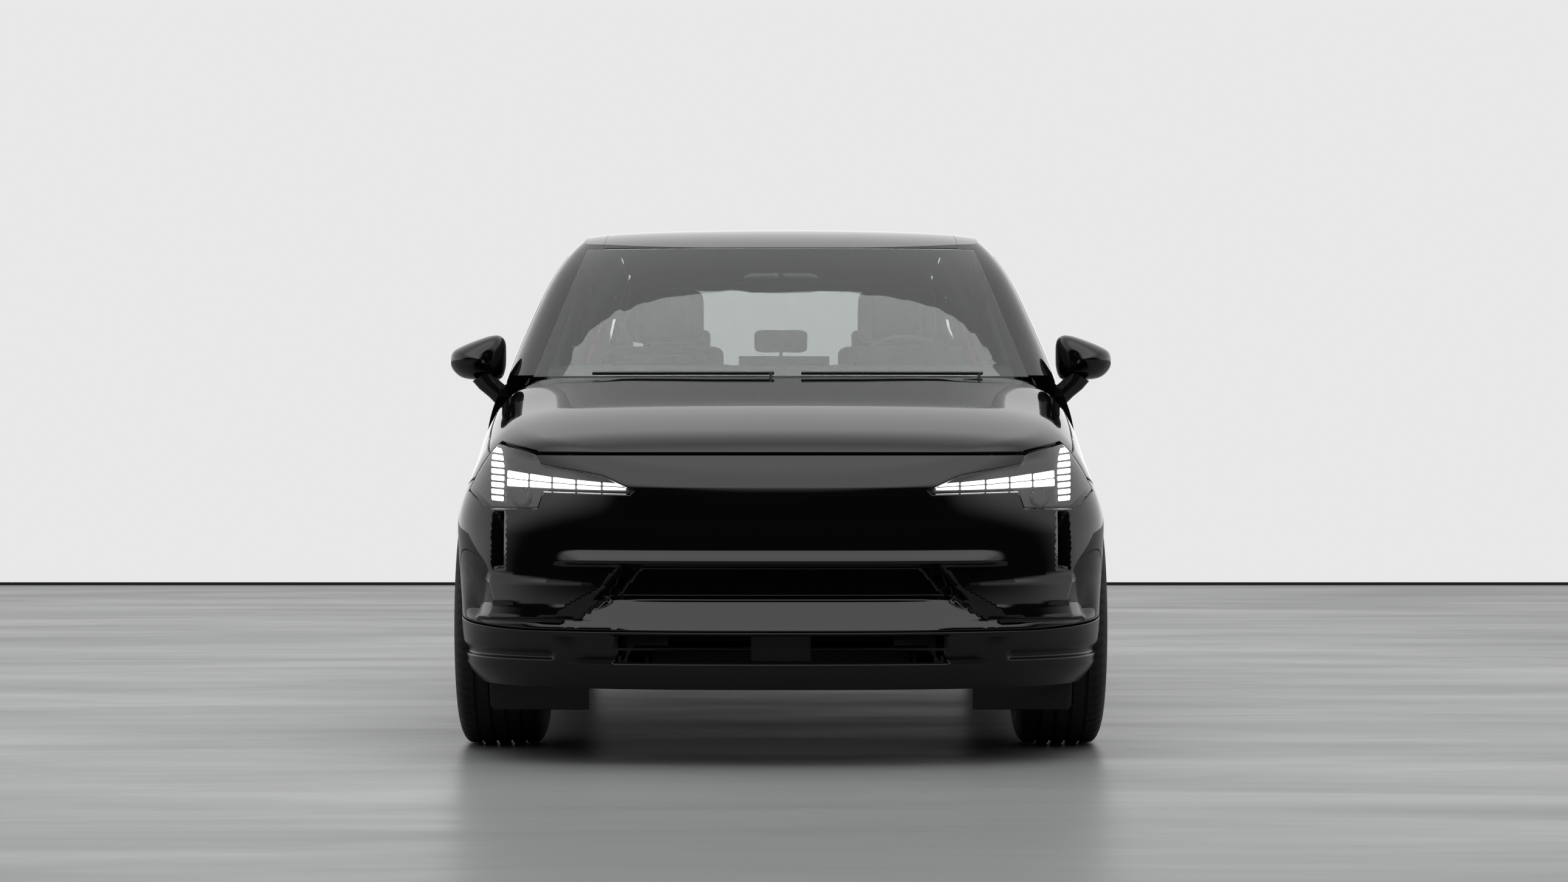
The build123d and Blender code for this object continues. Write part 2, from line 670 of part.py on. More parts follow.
def build_front_knuckle():
    """The steered hub carrier with its strut, steering arm, caliper and wheel stub."""
    y = FRONT_AXLE_Y
    x, z = BALL_JOINT
    carrier = axle_cylinder(y, 58, 668, 712)
    stub = axle_cylinder(y, STUB_R, 700, 836)
    foot = joined(rod((690, y, 310), (x - 6, y, z + 16), 19), rod((x, y, z - 6), (x, y, z + 26), 20))
    neck = rod((686, y, 390), (640, y, 530), 19)
    strut = rod((641, y, 500), (604, y, 848), 22)
    seat = rod((620, y, 715), (619, y, 725), 68)
    spring = rod((618, y, 724), (606, y, 842), 56)
    steering_arm = rod((692, y, 330), (690, y + 128, 300), 12)
    return joined(carrier, stub, foot, neck, strut, seat, spring, steering_arm, caliper(y, 1))


def build_rear_knuckles():
    """Both rear hub carriers with their calipers and wheel stubs."""
    y = REAR_AXLE_Y
    carrier = axle_cylinder(y, 55, 668, 712)
    plate = box(666, 690, y - 45, y + 62, 225, 440)
    return both(joined(carrier, plate, axle_cylinder(y, STUB_R, 700, 836), caliper(y, -1)))


def build_undertrays():
    """Flat covers under the nose and under the boot."""
    front = joined(box(-520, 520, -2060, -1720, 208, 214), box(-480, 480, -1725, -1570, 208, 214))
    front = common(front, lower(SKIN + 4))
    rear = common(box(-560, 560, 1780, 2060, 224, 230), lower(SKIN + 4))
    return joined(front, rear)


# ---------------------------------------------------------------- wheels
def build_tyre(y):
    """A hollow 245/45 R19 tyre, drawn about its own axle and moved to its place."""
    with BuildPart() as tyre:
        with BuildSketch():
            with BuildLine():
                outer = Spline((-104, 261), (-117, 278), (-122.5, 304), (-116, 333), (-96, 347))
                tread = ThreePointArc(outer @ 1, (0, TYRE_R), (96, 347))
                other = Spline(tread @ 1, (116, 333), (122.5, 304), (117, 278), (104, 261))
                Polyline(other @ 1, (104, BEAD_R + 0.4), (90, BEAD_R + 0.4), (106, 292), (98, 326), (0, 338),
                         (-98, 326), (-106, 292), (-90, BEAD_R + 0.4), (-104, BEAD_R + 0.4), outer @ 0)
            make_face()
        revolve(axis=Axis.X)
    return tyre.part.moved(Location((WHEEL_X, y, TYRE_R)))


def build_rim(y):
    """A cast wheel with five forked spokes, its hub and brake disc."""
    barrel = [(-116, 256), (-108, 256), (-106, BEAD_R), (-80, BEAD_R), (-60, 228), (60, 228), (85, BEAD_R),
              (106, BEAD_R), (108, 256), (116, 256), (116, 240), (90, 230), (66, 216), (-62, 216), (-85, 230),
              (-116, 240)]
    dish = [(46, 40), (76, 40), (92, 150), (106, 224), (100, 234), (74, 234), (60, 140)]
    hub = [(-34, STUB_R + 0.5), (-34, 46), (26, 46), (26, 76), (-8, 76), (-18, 90), (-18, DISC_R),
           (4, DISC_R), (4, 86), (40, 86), (48, 74), (78, 68), (84, 30), (84, 0), (52, 0),
           (52, STUB_R + 0.5)]
    with BuildPart() as wheel:
        with BuildSketch():
            with BuildLine():
                Polyline(*dish, close=True)
            make_face()
        revolve(axis=Axis.X)
        with BuildSketch(Plane.YZ):
            for k in range(5):
                for fork in (-13, 13):
                    with BuildLine():
                        Polyline(*spoke_outline(72 * k + fork), close=True)
                    make_face()
        extrude(amount=200, mode=Mode.INTERSECT)
        with BuildSketch():
            with BuildLine():
                Polyline(*barrel, close=True)
            make_face()
        revolve(axis=Axis.X)
        with BuildSketch():
            with BuildLine():
                Polyline(*hub, close=True)
            make_face()
        revolve(axis=Axis.X)
    return wheel.part.moved(Location((WHEEL_X, y, TYRE_R)))


def spoke_outline(angle):
    """A tapered radial bar at an angle in degrees, as four points."""
    a = math.radians(angle)
    along, over = Vector(math.cos(a), math.sin(a)), Vector(-math.sin(a), math.cos(a))
    corners = ((30, 15), (240, 10), (240, -10), (30, -15))
    return [tuple(along * r + over * w)[:2] for r, w in corners]


# ---------------------------------------------------------------- cabin
def build_dashboard():
    """Dashboard, driver display, centre screen and console."""
    with BuildPart() as dash:
        with BuildSketch(Plane.YZ.offset(-700)):
            with BuildLine():
                Polyline((-868, 780), (-868, 1040), (-800, 1074), (-640, 1090), (-520, 1076), (-480, 1010),
                         (-500, 900), (-600, 800), close=True)
            make_face()
        extrude(amount=1400)
        fillet(dash.edges().filter_by(Axis.X), radius=14)
    display = box(235, 560, -512, -498, 1030, 1150)
    screen = box(-130, 150, -505, -488, 850, 1120)
    stack = box(-110, 110, -640, -480, 560, 900)
    console = box(-105, 105, -480, 360, 304, 520)
    foot = box(-105, 105, -640, -478, 304, 562)
    return joined(dash.part, display, screen, stack, console, foot)


def build_steering_wheel():
    """Rim, spokes, hub and column stub."""
    centre = Vector(390, -235, 1020)
    tilt = Plane(centre, x_dir=(1, 0, 0), z_dir=(0, 0.906, 0.423))
    with BuildPart() as wheel:
        with BuildSketch(Plane(centre + Vector(172, 0, 0), x_dir=(1, 0, 0), z_dir=tilt.y_dir)):
            Circle(15)
        revolve(axis=Axis(centre, tilt.z_dir))
        with BuildSketch(tilt.offset(-14)):
            RectangleRounded(330, 52, 10)
            with Locations((0, -60)):
                RectangleRounded(60, 180, 10)
            Circle(62)
        extrude(amount=24)
        with BuildSketch(tilt.offset(-190)):
            Circle(26)
        extrude(amount=180)
    return wheel.part


def seat(x, width, y, top, head_top, head_width):
    """A seat with its base, cushion, leaning backrest and headrest."""
    x0, x1 = x - width / 2, x + width / 2
    base = box(x0 + 50, x1 - 50, y - 400, y + 60, 306, 500)
    cushion = box(x0, x1, y - 480, y + 60, 495, 640, edge=40)
    with BuildPart() as back:
        with BuildSketch(Plane.YZ.offset(x0)):
            with BuildLine():
                Polyline((y, 520), (y + 130, 520), (y + 260, top), (y + 160, top + 10), close=True)
            make_face()
            fillet(vertices(), radius=30)
        extrude(amount=width)
    head = box(x - head_width / 2, x + head_width / 2, y + 175, y + 265, top + 30, head_top, edge=25)
    posts = [rod((x + k, y + 220, top - 60), (x + k, y + 220, top + 60), 7) for k in (-50, 50)]
    return joined(base, cushion, back.part, head, *posts)


def build_front_seats():
    """Both front seats."""
    return both(seat(385, 490, 90, 1120, 1350, 300))


def build_rear_bench():
    """The rear bench with three headrests."""
    cushion = box(-600, 600, 500, 960, 330, 570, edge=40)
    with BuildPart() as back:
        with BuildSketch(Plane.YZ.offset(-600)):
            with BuildLine():
                Polyline((900, 500), (984, 496), (1190, 1130), (1100, 1150), close=True)
            make_face()
            fillet(vertices(), radius=30)
        extrude(amount=1200)
    places = ((-370, 130), (0, 100), (370, 130))
    heads = [box(x - w, x + w, 1105, 1195, 1155, 1245, edge=20) for x, w in places]
    posts = [rod((x, 1150, 1090), (x, 1150, 1170), 8) for x in (-370, 0, 370)]
    return joined(cushion, back.part, *heads, *posts)


def main():
    """Builds every piece and writes it as its own file."""
    os.makedirs("parts", exist_ok=True)
    save("bonnet", build_bonnet())
    save("front_bumper", build_front_bumper())
    save("front_lower_bumper", build_front_lower_bumper())
    save_pair("fender", build_fender())
    save("charge_lid", build_charge_lid())
    save("charge_port", build_charge_port())
    save_pair("headlamp", build_headlamp())
    save_pair("front_door", build_door(FRONT_DOOR, FRONT_DOOR_INNER, FRONT_WINDOW))
    save_pair("rear_door", build_door(REAR_DOOR, REAR_DOOR_INNER, REAR_WINDOW))
    save_pair("front_door_glass", build_side_glass(FRONT_WINDOW))
    save_pair("rear_door_glass", build_side_glass(REAR_WINDOW))
    save_pair("mirror", build_mirror())
    side = build_body_side()
    save("body_side_left", cut(side, charge_recess()))
    save("body_side_right", mirrored(side))
    save("roof", build_roof())
    save("windscreen", build_windscreen())
    save("cowl", build_cowl())
    save("rear_bumper", build_rear_bumper())
    save("tailgate", build_tailgate())
    save("tailgate_glass", build_tailgate_glass())
    save("tail_lamps", build_tail_lamps())
    save("front_structure", build_front_structure())
    save("motor_cover", build_motor_cover())
    save("floor_pan", build_floor_pan())
    save("battery_pack", build_battery_pack())
    save("drive_motor", build_drive_motor())
    save("wheel_arch_liners", build_liners())
    save("front_axle", build_front_axle())
    save("rear_axle", build_rear_axle())
    save_pair("knuckle", build_front_knuckle())
    save("rear_knuckles", build_rear_knuckles())
    save("undertrays", build_undertrays())
    save_pair("front_tyre", build_tyre(FRONT_AXLE_Y))
    save_pair("rear_tyre", build_tyre(REAR_AXLE_Y))
    save_pair("front_rim", build_rim(FRONT_AXLE_Y))
    save_pair("rear_rim", build_rim(REAR_AXLE_Y))
    save("dashboard", build_dashboard())
    save("steering_wheel", build_steering_wheel())
    save("front_seats", build_front_seats())
    save("rear_bench", build_rear_bench())


main()
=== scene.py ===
"""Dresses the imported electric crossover: glossy panels, lamps, glass, wheels, cabin and studio."""

import logging
import math
from dataclasses import dataclass, field
from enum import Enum
from typing import Callable, Optional, Sequence

import bpy
import numpy as np
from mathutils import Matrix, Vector
from mathutils.geometry import delaunay_2d_cdt


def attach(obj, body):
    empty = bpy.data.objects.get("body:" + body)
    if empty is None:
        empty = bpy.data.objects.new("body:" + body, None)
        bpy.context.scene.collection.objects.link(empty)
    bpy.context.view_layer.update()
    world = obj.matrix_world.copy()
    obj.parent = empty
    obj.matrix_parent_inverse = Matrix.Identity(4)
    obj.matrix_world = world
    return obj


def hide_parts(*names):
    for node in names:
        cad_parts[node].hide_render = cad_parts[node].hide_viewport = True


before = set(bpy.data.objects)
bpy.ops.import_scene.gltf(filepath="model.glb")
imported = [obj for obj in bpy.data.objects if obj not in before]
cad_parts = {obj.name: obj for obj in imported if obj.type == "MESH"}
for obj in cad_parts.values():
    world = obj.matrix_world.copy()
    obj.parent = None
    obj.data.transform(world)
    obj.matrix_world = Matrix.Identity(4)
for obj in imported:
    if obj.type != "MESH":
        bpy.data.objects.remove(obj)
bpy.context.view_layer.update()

logging.basicConfig(level=logging.INFO, format="%(message)s")
LOG = logging.getLogger("crossover")

MM = 1000  # millimetres in a metre
WHEEL_X = 0.79  # half of the track
WHEEL_R = 0.3515
ARCH_R = 0.392
LAMP_BACK = -1.735  # station where the headlamps end

Array = np.ndarray
Form = Callable[[Array], Array]
Points = Sequence[tuple[float, float]]
Place = tuple[float, float, float]
Relief = Callable[[Array, Array], Array]


# ---------------------------------------------------------------- colours and materials
def linear(code: str) -> tuple[float, float, float, float]:
    """Turns an sRGB hex colour into linear light.

    Args:
        code: six hex digits, such as "0b0b0c".

    Returns:
        Red, green, blue and an alpha of 1.
    """
    parts = [int(code[i:i + 2], 16) / 255 for i in (0, 2, 4)]
    return (*[c / 12.92 if c <= 0.04045 else ((c + 0.055) / 1.055) ** 2.4 for c in parts], 1.0)


def add_node(tree: bpy.types.NodeTree, kind: str, settings: Optional[dict] = None,
             inputs: Optional[dict] = None) -> bpy.types.Node:
    """Adds one shader node.

    Args:
        tree: the node tree.
        kind: the node's type name.
        settings: attributes to set, by name.
        inputs: socket name or number to a value or to another node's output socket.

    Returns:
        The new node.
    """
    node = tree.nodes.new(kind)
    for name, value in (settings or {}).items():
        setattr(node, name, value)
    for name, value in (inputs or {}).items():
        if isinstance(value, bpy.types.NodeSocket):
            tree.links.new(value, node.inputs[name])
        else:
            node.inputs[name].default_value = value
    return node


def combine(tree: bpy.types.NodeTree, operation: str, *values: object) -> bpy.types.NodeSocket:
    """Adds a maths node.

    Args:
        tree: the node tree.
        operation: what it does, such as "MULTIPLY".
        values: numbers or other nodes' output sockets.

    Returns:
        The node's output.
    """
    return add_node(tree, "ShaderNodeMath", {"operation": operation}, dict(enumerate(values))).outputs[0]


@dataclass(frozen=True)
class Finish:
    """A surface finish: a principled shader with a fine noise in its roughness and height.

    Attributes:
        name: the material's name.
        colour: sRGB hex colour.
        metallic: 0 for plastics and paint, 1 for bare metal.
        roughness: microscopic roughness.
        ior: index of refraction.
        coat: strength of a clear coat over the colour.
        coat_roughness: roughness of that coat.
        grain_mm: size of the surface grain in millimetres.
        grain_depth_mm: height of that grain in millimetres.
        mottle: how far the colour wanders to its darker tone, from 0 to 1.
        sheen: strength of a soft cloth-like edge light.
        stretch: scale of the grain along x, y and z.
    """

    name: str
    colour: str
    metallic: float = 0.0
    roughness: float = 0.5
    ior: float = 1.5
    coat: float = 0.0
    coat_roughness: float = 0.03
    grain_mm: float = 1.5
    grain_depth_mm: float = 0.0
    mottle: float = 0.08
    sheen: float = 0.0
    stretch: Place = (1.0, 1.0, 1.0)

    def make(self) -> bpy.types.Material:
        """Builds the material once and returns it."""
        known = bpy.data.materials.get(self.name)
        if known:
            return known
        made = bpy.data.materials.new(self.name)
        made.use_nodes = True
        made.diffuse_color = linear(self.colour)
        tree = made.node_tree
        tree.nodes.clear()
        self.build(tree)
        return made

    def build(self, tree: bpy.types.NodeTree) -> None:
        """Adds this finish's nodes.

        Args:
            tree: the material's empty node tree.
        """
        place = add_node(tree, "ShaderNodeTexCoord").outputs["Object"]
        spread = add_node(tree, "ShaderNodeMapping", inputs={
            "Vector": place, "Scale": self.stretch}).outputs[0]
        grain = add_node(tree, "ShaderNodeTexNoise", inputs={
            "Vector": spread, "Scale": MM / (self.grain_mm * 2), "Detail": 3.0, "Roughness": 0.6})
        cloud = add_node(tree, "ShaderNodeTexNoise", inputs={"Vector": spread, "Scale": 6.0, "Detail": 4.0})
        base = linear(self.colour)
        dark = tuple(c * (1 - self.mottle) for c in base[:3]) + (1.0,)
        tint = add_node(tree, "ShaderNodeMix", {"data_type": "RGBA"}, {
            0: cloud.outputs["Fac"], 6: base, 7: dark}).outputs[2]
        rough = add_node(tree, "ShaderNodeMapRange", inputs={
            "Value": cloud.outputs["Fac"], "From Min": 0.3, "From Max": 0.7,
            "To Min": max(self.roughness * 0.94, 0.0), "To Max": min(self.roughness * 1.06, 1.0)}).outputs[0]
        inputs = {"Base Color": tint, "Metallic": self.metallic, "Roughness": rough,
                  "Coat Weight": self.coat, "Coat Roughness": self.coat_roughness,
                  "Sheen Weight": self.sheen, "Sheen Roughness": 0.5,
                  "Specular IOR Level": 0.5 * (1 - self.coat)}
        if not self.metallic:
            inputs["IOR"] = self.ior
        if self.grain_depth_mm:
            inputs["Normal"] = add_node(tree, "ShaderNodeBump", inputs={
                "Strength": 1.0, "Distance": self.grain_depth_mm / MM,
                "Height": grain.outputs["Fac"]}).outputs[0]
        shader = add_node(tree, "ShaderNodeBsdfPrincipled", inputs=inputs)
        add_node(tree, "ShaderNodeOutputMaterial", inputs={"Surface": shader.outputs[0]})


@dataclass(frozen=True)
class WovenFinish(Finish):
    """Woven cloth: two crossed sets of threads in the height and the colour.

    Attributes:
        thread_mm: width of a thread in millimetres.
    """

    thread_mm: float = 1.6

    def build(self, tree: bpy.types.NodeTree) -> None:
        """Adds the weave's nodes.

        Args:
            tree: the material's empty node tree.
        """
        place = add_node(tree, "ShaderNodeTexCoord").outputs["Object"]
        waves = []
        for axis in ("X", "DIAGONAL"):
            waves.append(add_node(tree, "ShaderNodeTexWave", {"bands_direction": axis}, {
                "Vector": place, "Scale": MM / (self.thread_mm * 2 * math.pi), "Distortion": 0.6,
                "Detail": 1.0}).outputs["Fac"])
        cross = combine(tree, "MULTIPLY", *waves)
        base = linear(self.colour)
        dark = tuple(c * 0.55 for c in base[:3]) + (1.0,)
        tint = add_node(tree, "ShaderNodeMix", {"data_type": "RGBA"}, {0: cross, 6: dark, 7: base}).outputs[2]
        bump = add_node(tree, "ShaderNodeBump", inputs={
            "Strength": 1.0, "Distance": self.grain_depth_mm / MM, "Height": cross}).outputs[0]
        shader = add_node(tree, "ShaderNodeBsdfPrincipled", inputs={
            "Base Color": tint, "Roughness": self.roughness, "IOR": self.ior,
            "Sheen Weight": self.sheen, "Sheen Roughness": 0.4, "Normal": bump})
        add_node(tree, "ShaderNodeOutputMaterial", inputs={"Surface": shader.outputs[0]})


@dataclass(frozen=True)
class GlassFinish(Finish):
    """Tinted glass or clear moulding that lets the lamps light what is behind it."""

    def build(self, tree: bpy.types.NodeTree) -> None:
        """Adds the glass's nodes.

        Args:
            tree: the material's empty node tree.
        """
        tint = linear(self.colour)
        glass = add_node(tree, "ShaderNodeBsdfPrincipled", inputs={
            "Base Color": tint, "Roughness": self.roughness, "IOR": self.ior,
            "Transmission Weight": 1.0}).outputs[0]
        clear = add_node(tree, "ShaderNodeBsdfTransparent", inputs={"Color": tint}).outputs[0]
        shadow = add_node(tree, "ShaderNodeLightPath").outputs["Is Shadow Ray"]
        mix = add_node(tree, "ShaderNodeMixShader", inputs={0: shadow, 1: glass, 2: clear}).outputs[0]
        add_node(tree, "ShaderNodeOutputMaterial", inputs={"Surface": mix})


@dataclass(frozen=True)
class GlowFinish(Finish):
    """A lit diffuser.

    Attributes:
        strength: brightness of its light.
    """

    strength: float = 1.0

    def build(self, tree: bpy.types.NodeTree) -> None:
        """Adds the glowing surface's nodes.

        Args:
            tree: the material's empty node tree.
        """
        shader = add_node(tree, "ShaderNodeBsdfPrincipled", inputs={
            "Base Color": linear(self.colour), "Roughness": self.roughness, "IOR": self.ior,
            "Emission Color": linear(self.colour), "Emission Strength": self.strength})
        add_node(tree, "ShaderNodeOutputMaterial", inputs={"Surface": shader.outputs[0]})


# Two-coat acrylic body paint, sprayed and polished: deep black under a mirror-like clear coat.
PAINT = Finish("BodyPaint_Black", "060607", roughness=0.42, coat=1.0, coat_roughness=0.02, mottle=0.15)
# Glossy moulded ABS trim: as black as the paint but with a softer reflection.
TRIM = Finish("GlossTrim_ABS", "0b0b0c", roughness=0.16, ior=1.53)
# Moulded polypropylene with an etched grain of about 1 mm, drawn a little coarser to show: dull dark grey.
CLADDING = Finish("GrainedPolypropylene", "09090a", roughness=0.3, ior=1.45, grain_mm=1.2,
                  grain_depth_mm=0.02)
# Non-woven polyester wheel arch felt: no shine at all.
FELT = Finish("ArchFelt_Polyester", "121212", roughness=0.95, grain_mm=3.0, grain_depth_mm=0.5, mottle=0.3)
# Laminated glass of the windscreen and the tailgate: clear, with a light grey tint.
SCREEN_GLASS = GlassFinish("LaminatedGlass", "b9bebc", roughness=0.0, ior=1.52)
# Dark privacy glass of the rear doors: the cabin behind it is a shadow.
PRIVACY_GLASS = GlassFinish("PrivacyGlass", "565b59", roughness=0.0, ior=1.52)
# Tinted side glass: a cool mid grey.
SIDE_GLASS = GlassFinish("TintedGlass", "9aa09e", roughness=0.0, ior=1.52)
# Clear hard-coated polycarbonate lamp covers: nearly unseen but for their highlight.
LENS = GlassFinish("LampLens_Polycarbonate", "f2f4f4", roughness=0.01, ior=1.585)
# Red acrylic tail lamp covers: deep red, nearly black when unlit.
RED_LENS = GlassFinish("TailLens_Acrylic", "8a0d10", roughness=0.02, ior=1.49)
# Lamp housing in unplated black polycarbonate: a dim satin behind the lens.
HOUSING = Finish("LampHousing_Black", "0a0a0b", roughness=0.3, ior=1.585)
# Frosted light guide of the daytime lamps, lit white.
LED = GlowFinish("DaytimeLamp_LightGuide", "ffffff", roughness=0.4, strength=1.15)
# Frosted red light guide, unlit: an even, brighter red under the lens.
RED_GUIDE = Finish("TailLightGuide", "a01216", roughness=0.3, coat=0.5)
# Tyre rubber: soft carbon-black compound, slightly brown and dusty.
RUBBER = Finish("TyreRubber", "161617", roughness=0.78, grain_mm=1.0, grain_depth_mm=0.08, mottle=0.25)
# Cast aluminium wheel, painted gloss black.
RIM_PAINT = Finish("WheelPaint_GlossBlack", "0c0c0d", roughness=0.28, coat=0.8, coat_roughness=0.05)
# Forged and cast chassis parts in dull black wax over e-coat.
CHASSIS = Finish("ChassisEcoat", "1d1e1f", roughness=0.55, grain_mm=2.0, grain_depth_mm=0.1, mottle=0.3)
# Zinc-phosphated floor panels with sprayed underseal: dull and pebbled.
UNDERSEAL = Finish("Underseal_PVC", "1f2021", roughness=0.75, grain_mm=4.0, grain_depth_mm=0.4, mottle=0.25)
# Cast and pressed aluminium cases of the battery and the motor: pale satin metal.
CASE = Finish("CastAluminium", "85878a", metallic=1.0, roughness=0.5, grain_mm=1.5, grain_depth_mm=0.05)
# Slush-moulded soft skin of the dashboard and doors: matt, with a fine leathery grain.
SOFT_SKIN = Finish("SoftTouchSkin", "232427", roughness=0.62, grain_mm=1.4, grain_depth_mm=0.12, mottle=0.1)
# Needle-punched carpet: fuzzy, and it swallows light.
CARPET = Finish("NeedledCarpet", "1b1c1e", roughness=1.0, grain_mm=2.5, grain_depth_mm=1.2, mottle=0.35,
                sheen=0.3)
# Knitted headlining over foam: flat dark grey with a soft edge light.
HEADLINER = Finish("KnittedHeadliner", "2f3032", roughness=0.95, grain_mm=1.8, grain_depth_mm=0.3, sheen=0.2)
# Flat-woven wool-blend upholstery, thread drawn at 1.6 mm so that it shows.
UPHOLSTERY = WovenFinish("WovenUpholstery", "1e1f22", roughness=0.85, ior=1.5, grain_depth_mm=0.25, sheen=0.4)
# Knitted textile with a finer thread on bolsters and headrests.
BOLSTER_CLOTH = WovenFinish("KnittedBolster", "17181a", roughness=0.85, ior=1.5, grain_depth_mm=0.2,
                            sheen=0.4, thread_mm=1.2)
# Silvered mirror glass: a clean, cold reflection.
MIRROR_GLASS = Finish("SilveredMirror", "e6e8ea", metallic=1.0, roughness=0.01)
# Chrome-plated wheel nuts: small bright points.
CHROME = Finish("PlatedHardware", "c4c6c8", metallic=1.0, roughness=0.12)
# Amber acrylic of the side repeaters: warm, with a gloss.
AMBER = Finish("AmberAcrylic", "9c4a08", roughness=0.15, coat=0.6)


# ---------------------------------------------------------------- the body's outer surface
class Curve:
    """A natural cubic curve through (place, value) pairs in millimetres, read in metres.

    It is level past its ends.
    """

    def __init__(self, knots: Points) -> None:
        """Solves the curve's bending.

        Args:
            knots: (place, value) pairs in millimetres, in order of place.
        """
        xs, ys = np.array(knots, float).T / MM
        steps = np.diff(xs)
        matrix, rhs = np.eye(len(xs)), np.zeros(len(xs))
        for i in range(1, len(xs) - 1):
            matrix[i, i - 1:i + 2] = steps[i - 1], 2 * (steps[i - 1] + steps[i]), steps[i]
            rhs[i] = 6 * ((ys[i + 1] - ys[i]) / steps[i] - (ys[i] - ys[i - 1]) / steps[i - 1])
        bend = np.linalg.solve(matrix, rhs)
        self.xs, self.ys = xs, ys[:-1]
        self.first = np.diff(ys) / steps - steps * (2 * bend[:-1] + bend[1:]) / 6
        self.second = bend[:-1] / 2
        self.third = np.diff(bend) / (6 * steps)

    def __call__(self, place: Array) -> Array:
        """Reads the curve at some places, in metres."""
        at = np.clip(place, self.xs[0], self.xs[-1])
        i = np.clip(np.searchsorted(self.xs, at, side="right") - 1, 0, len(self.ys) - 1)
        t = at - self.xs[i]
        return self.ys[i] + t * (self.first[i] + t * (self.second[i] + t * self.third[i]))


def ease(value: Array, low: float, high: float) -> Array:
    """0 below low, 1 above high and a smooth step between them."""
    t = np.clip((np.asarray(value) - low) / (high - low), 0.0, 1.0)
    return t * t * (3 - 2 * t)


def either(a: Array, b: Array, soft: float) -> Array:
    """The larger of two distances, with the corner between them rounded over a length of soft."""
    h = np.maximum(soft - np.abs(a - b), 0) / soft
    return np.maximum(a, b) + h * h * soft / 4


def plan_distance(x: Array, y: Array, width: Array, front: Array, rear: Array, front_round: Array,
                  rear_round: float, power: float) -> Array:
    """Distance outside a plan outline with superellipse ends and free sides.

    Args:
        x: across the car.
        y: along the car.
        width: half width of the outline at each point.
        front: station of the nose.
        rear: station of the tail.
        front_round: length over which the nose rounds off.
        rear_round: length over which the tail rounds off.
        power: squareness of the ends.

    Returns:
        The distance, negative inside.
    """
    a = np.abs(x) / width
    e = np.maximum(0, (front + front_round - y) / front_round)
    f = np.maximum(0, (y - rear + rear_round) / rear_round)
    r = np.maximum((a**power + e**power + f**power) ** (1 / power), 0.05)
    slope = np.sqrt(((a / r) ** (power - 1) / width) ** 2 + ((e / r) ** (power - 1) / front_round) ** 2
                    + ((f / r) ** (power - 1) / rear_round) ** 2)
    return (r - 1) / np.maximum(slope, 0.3)


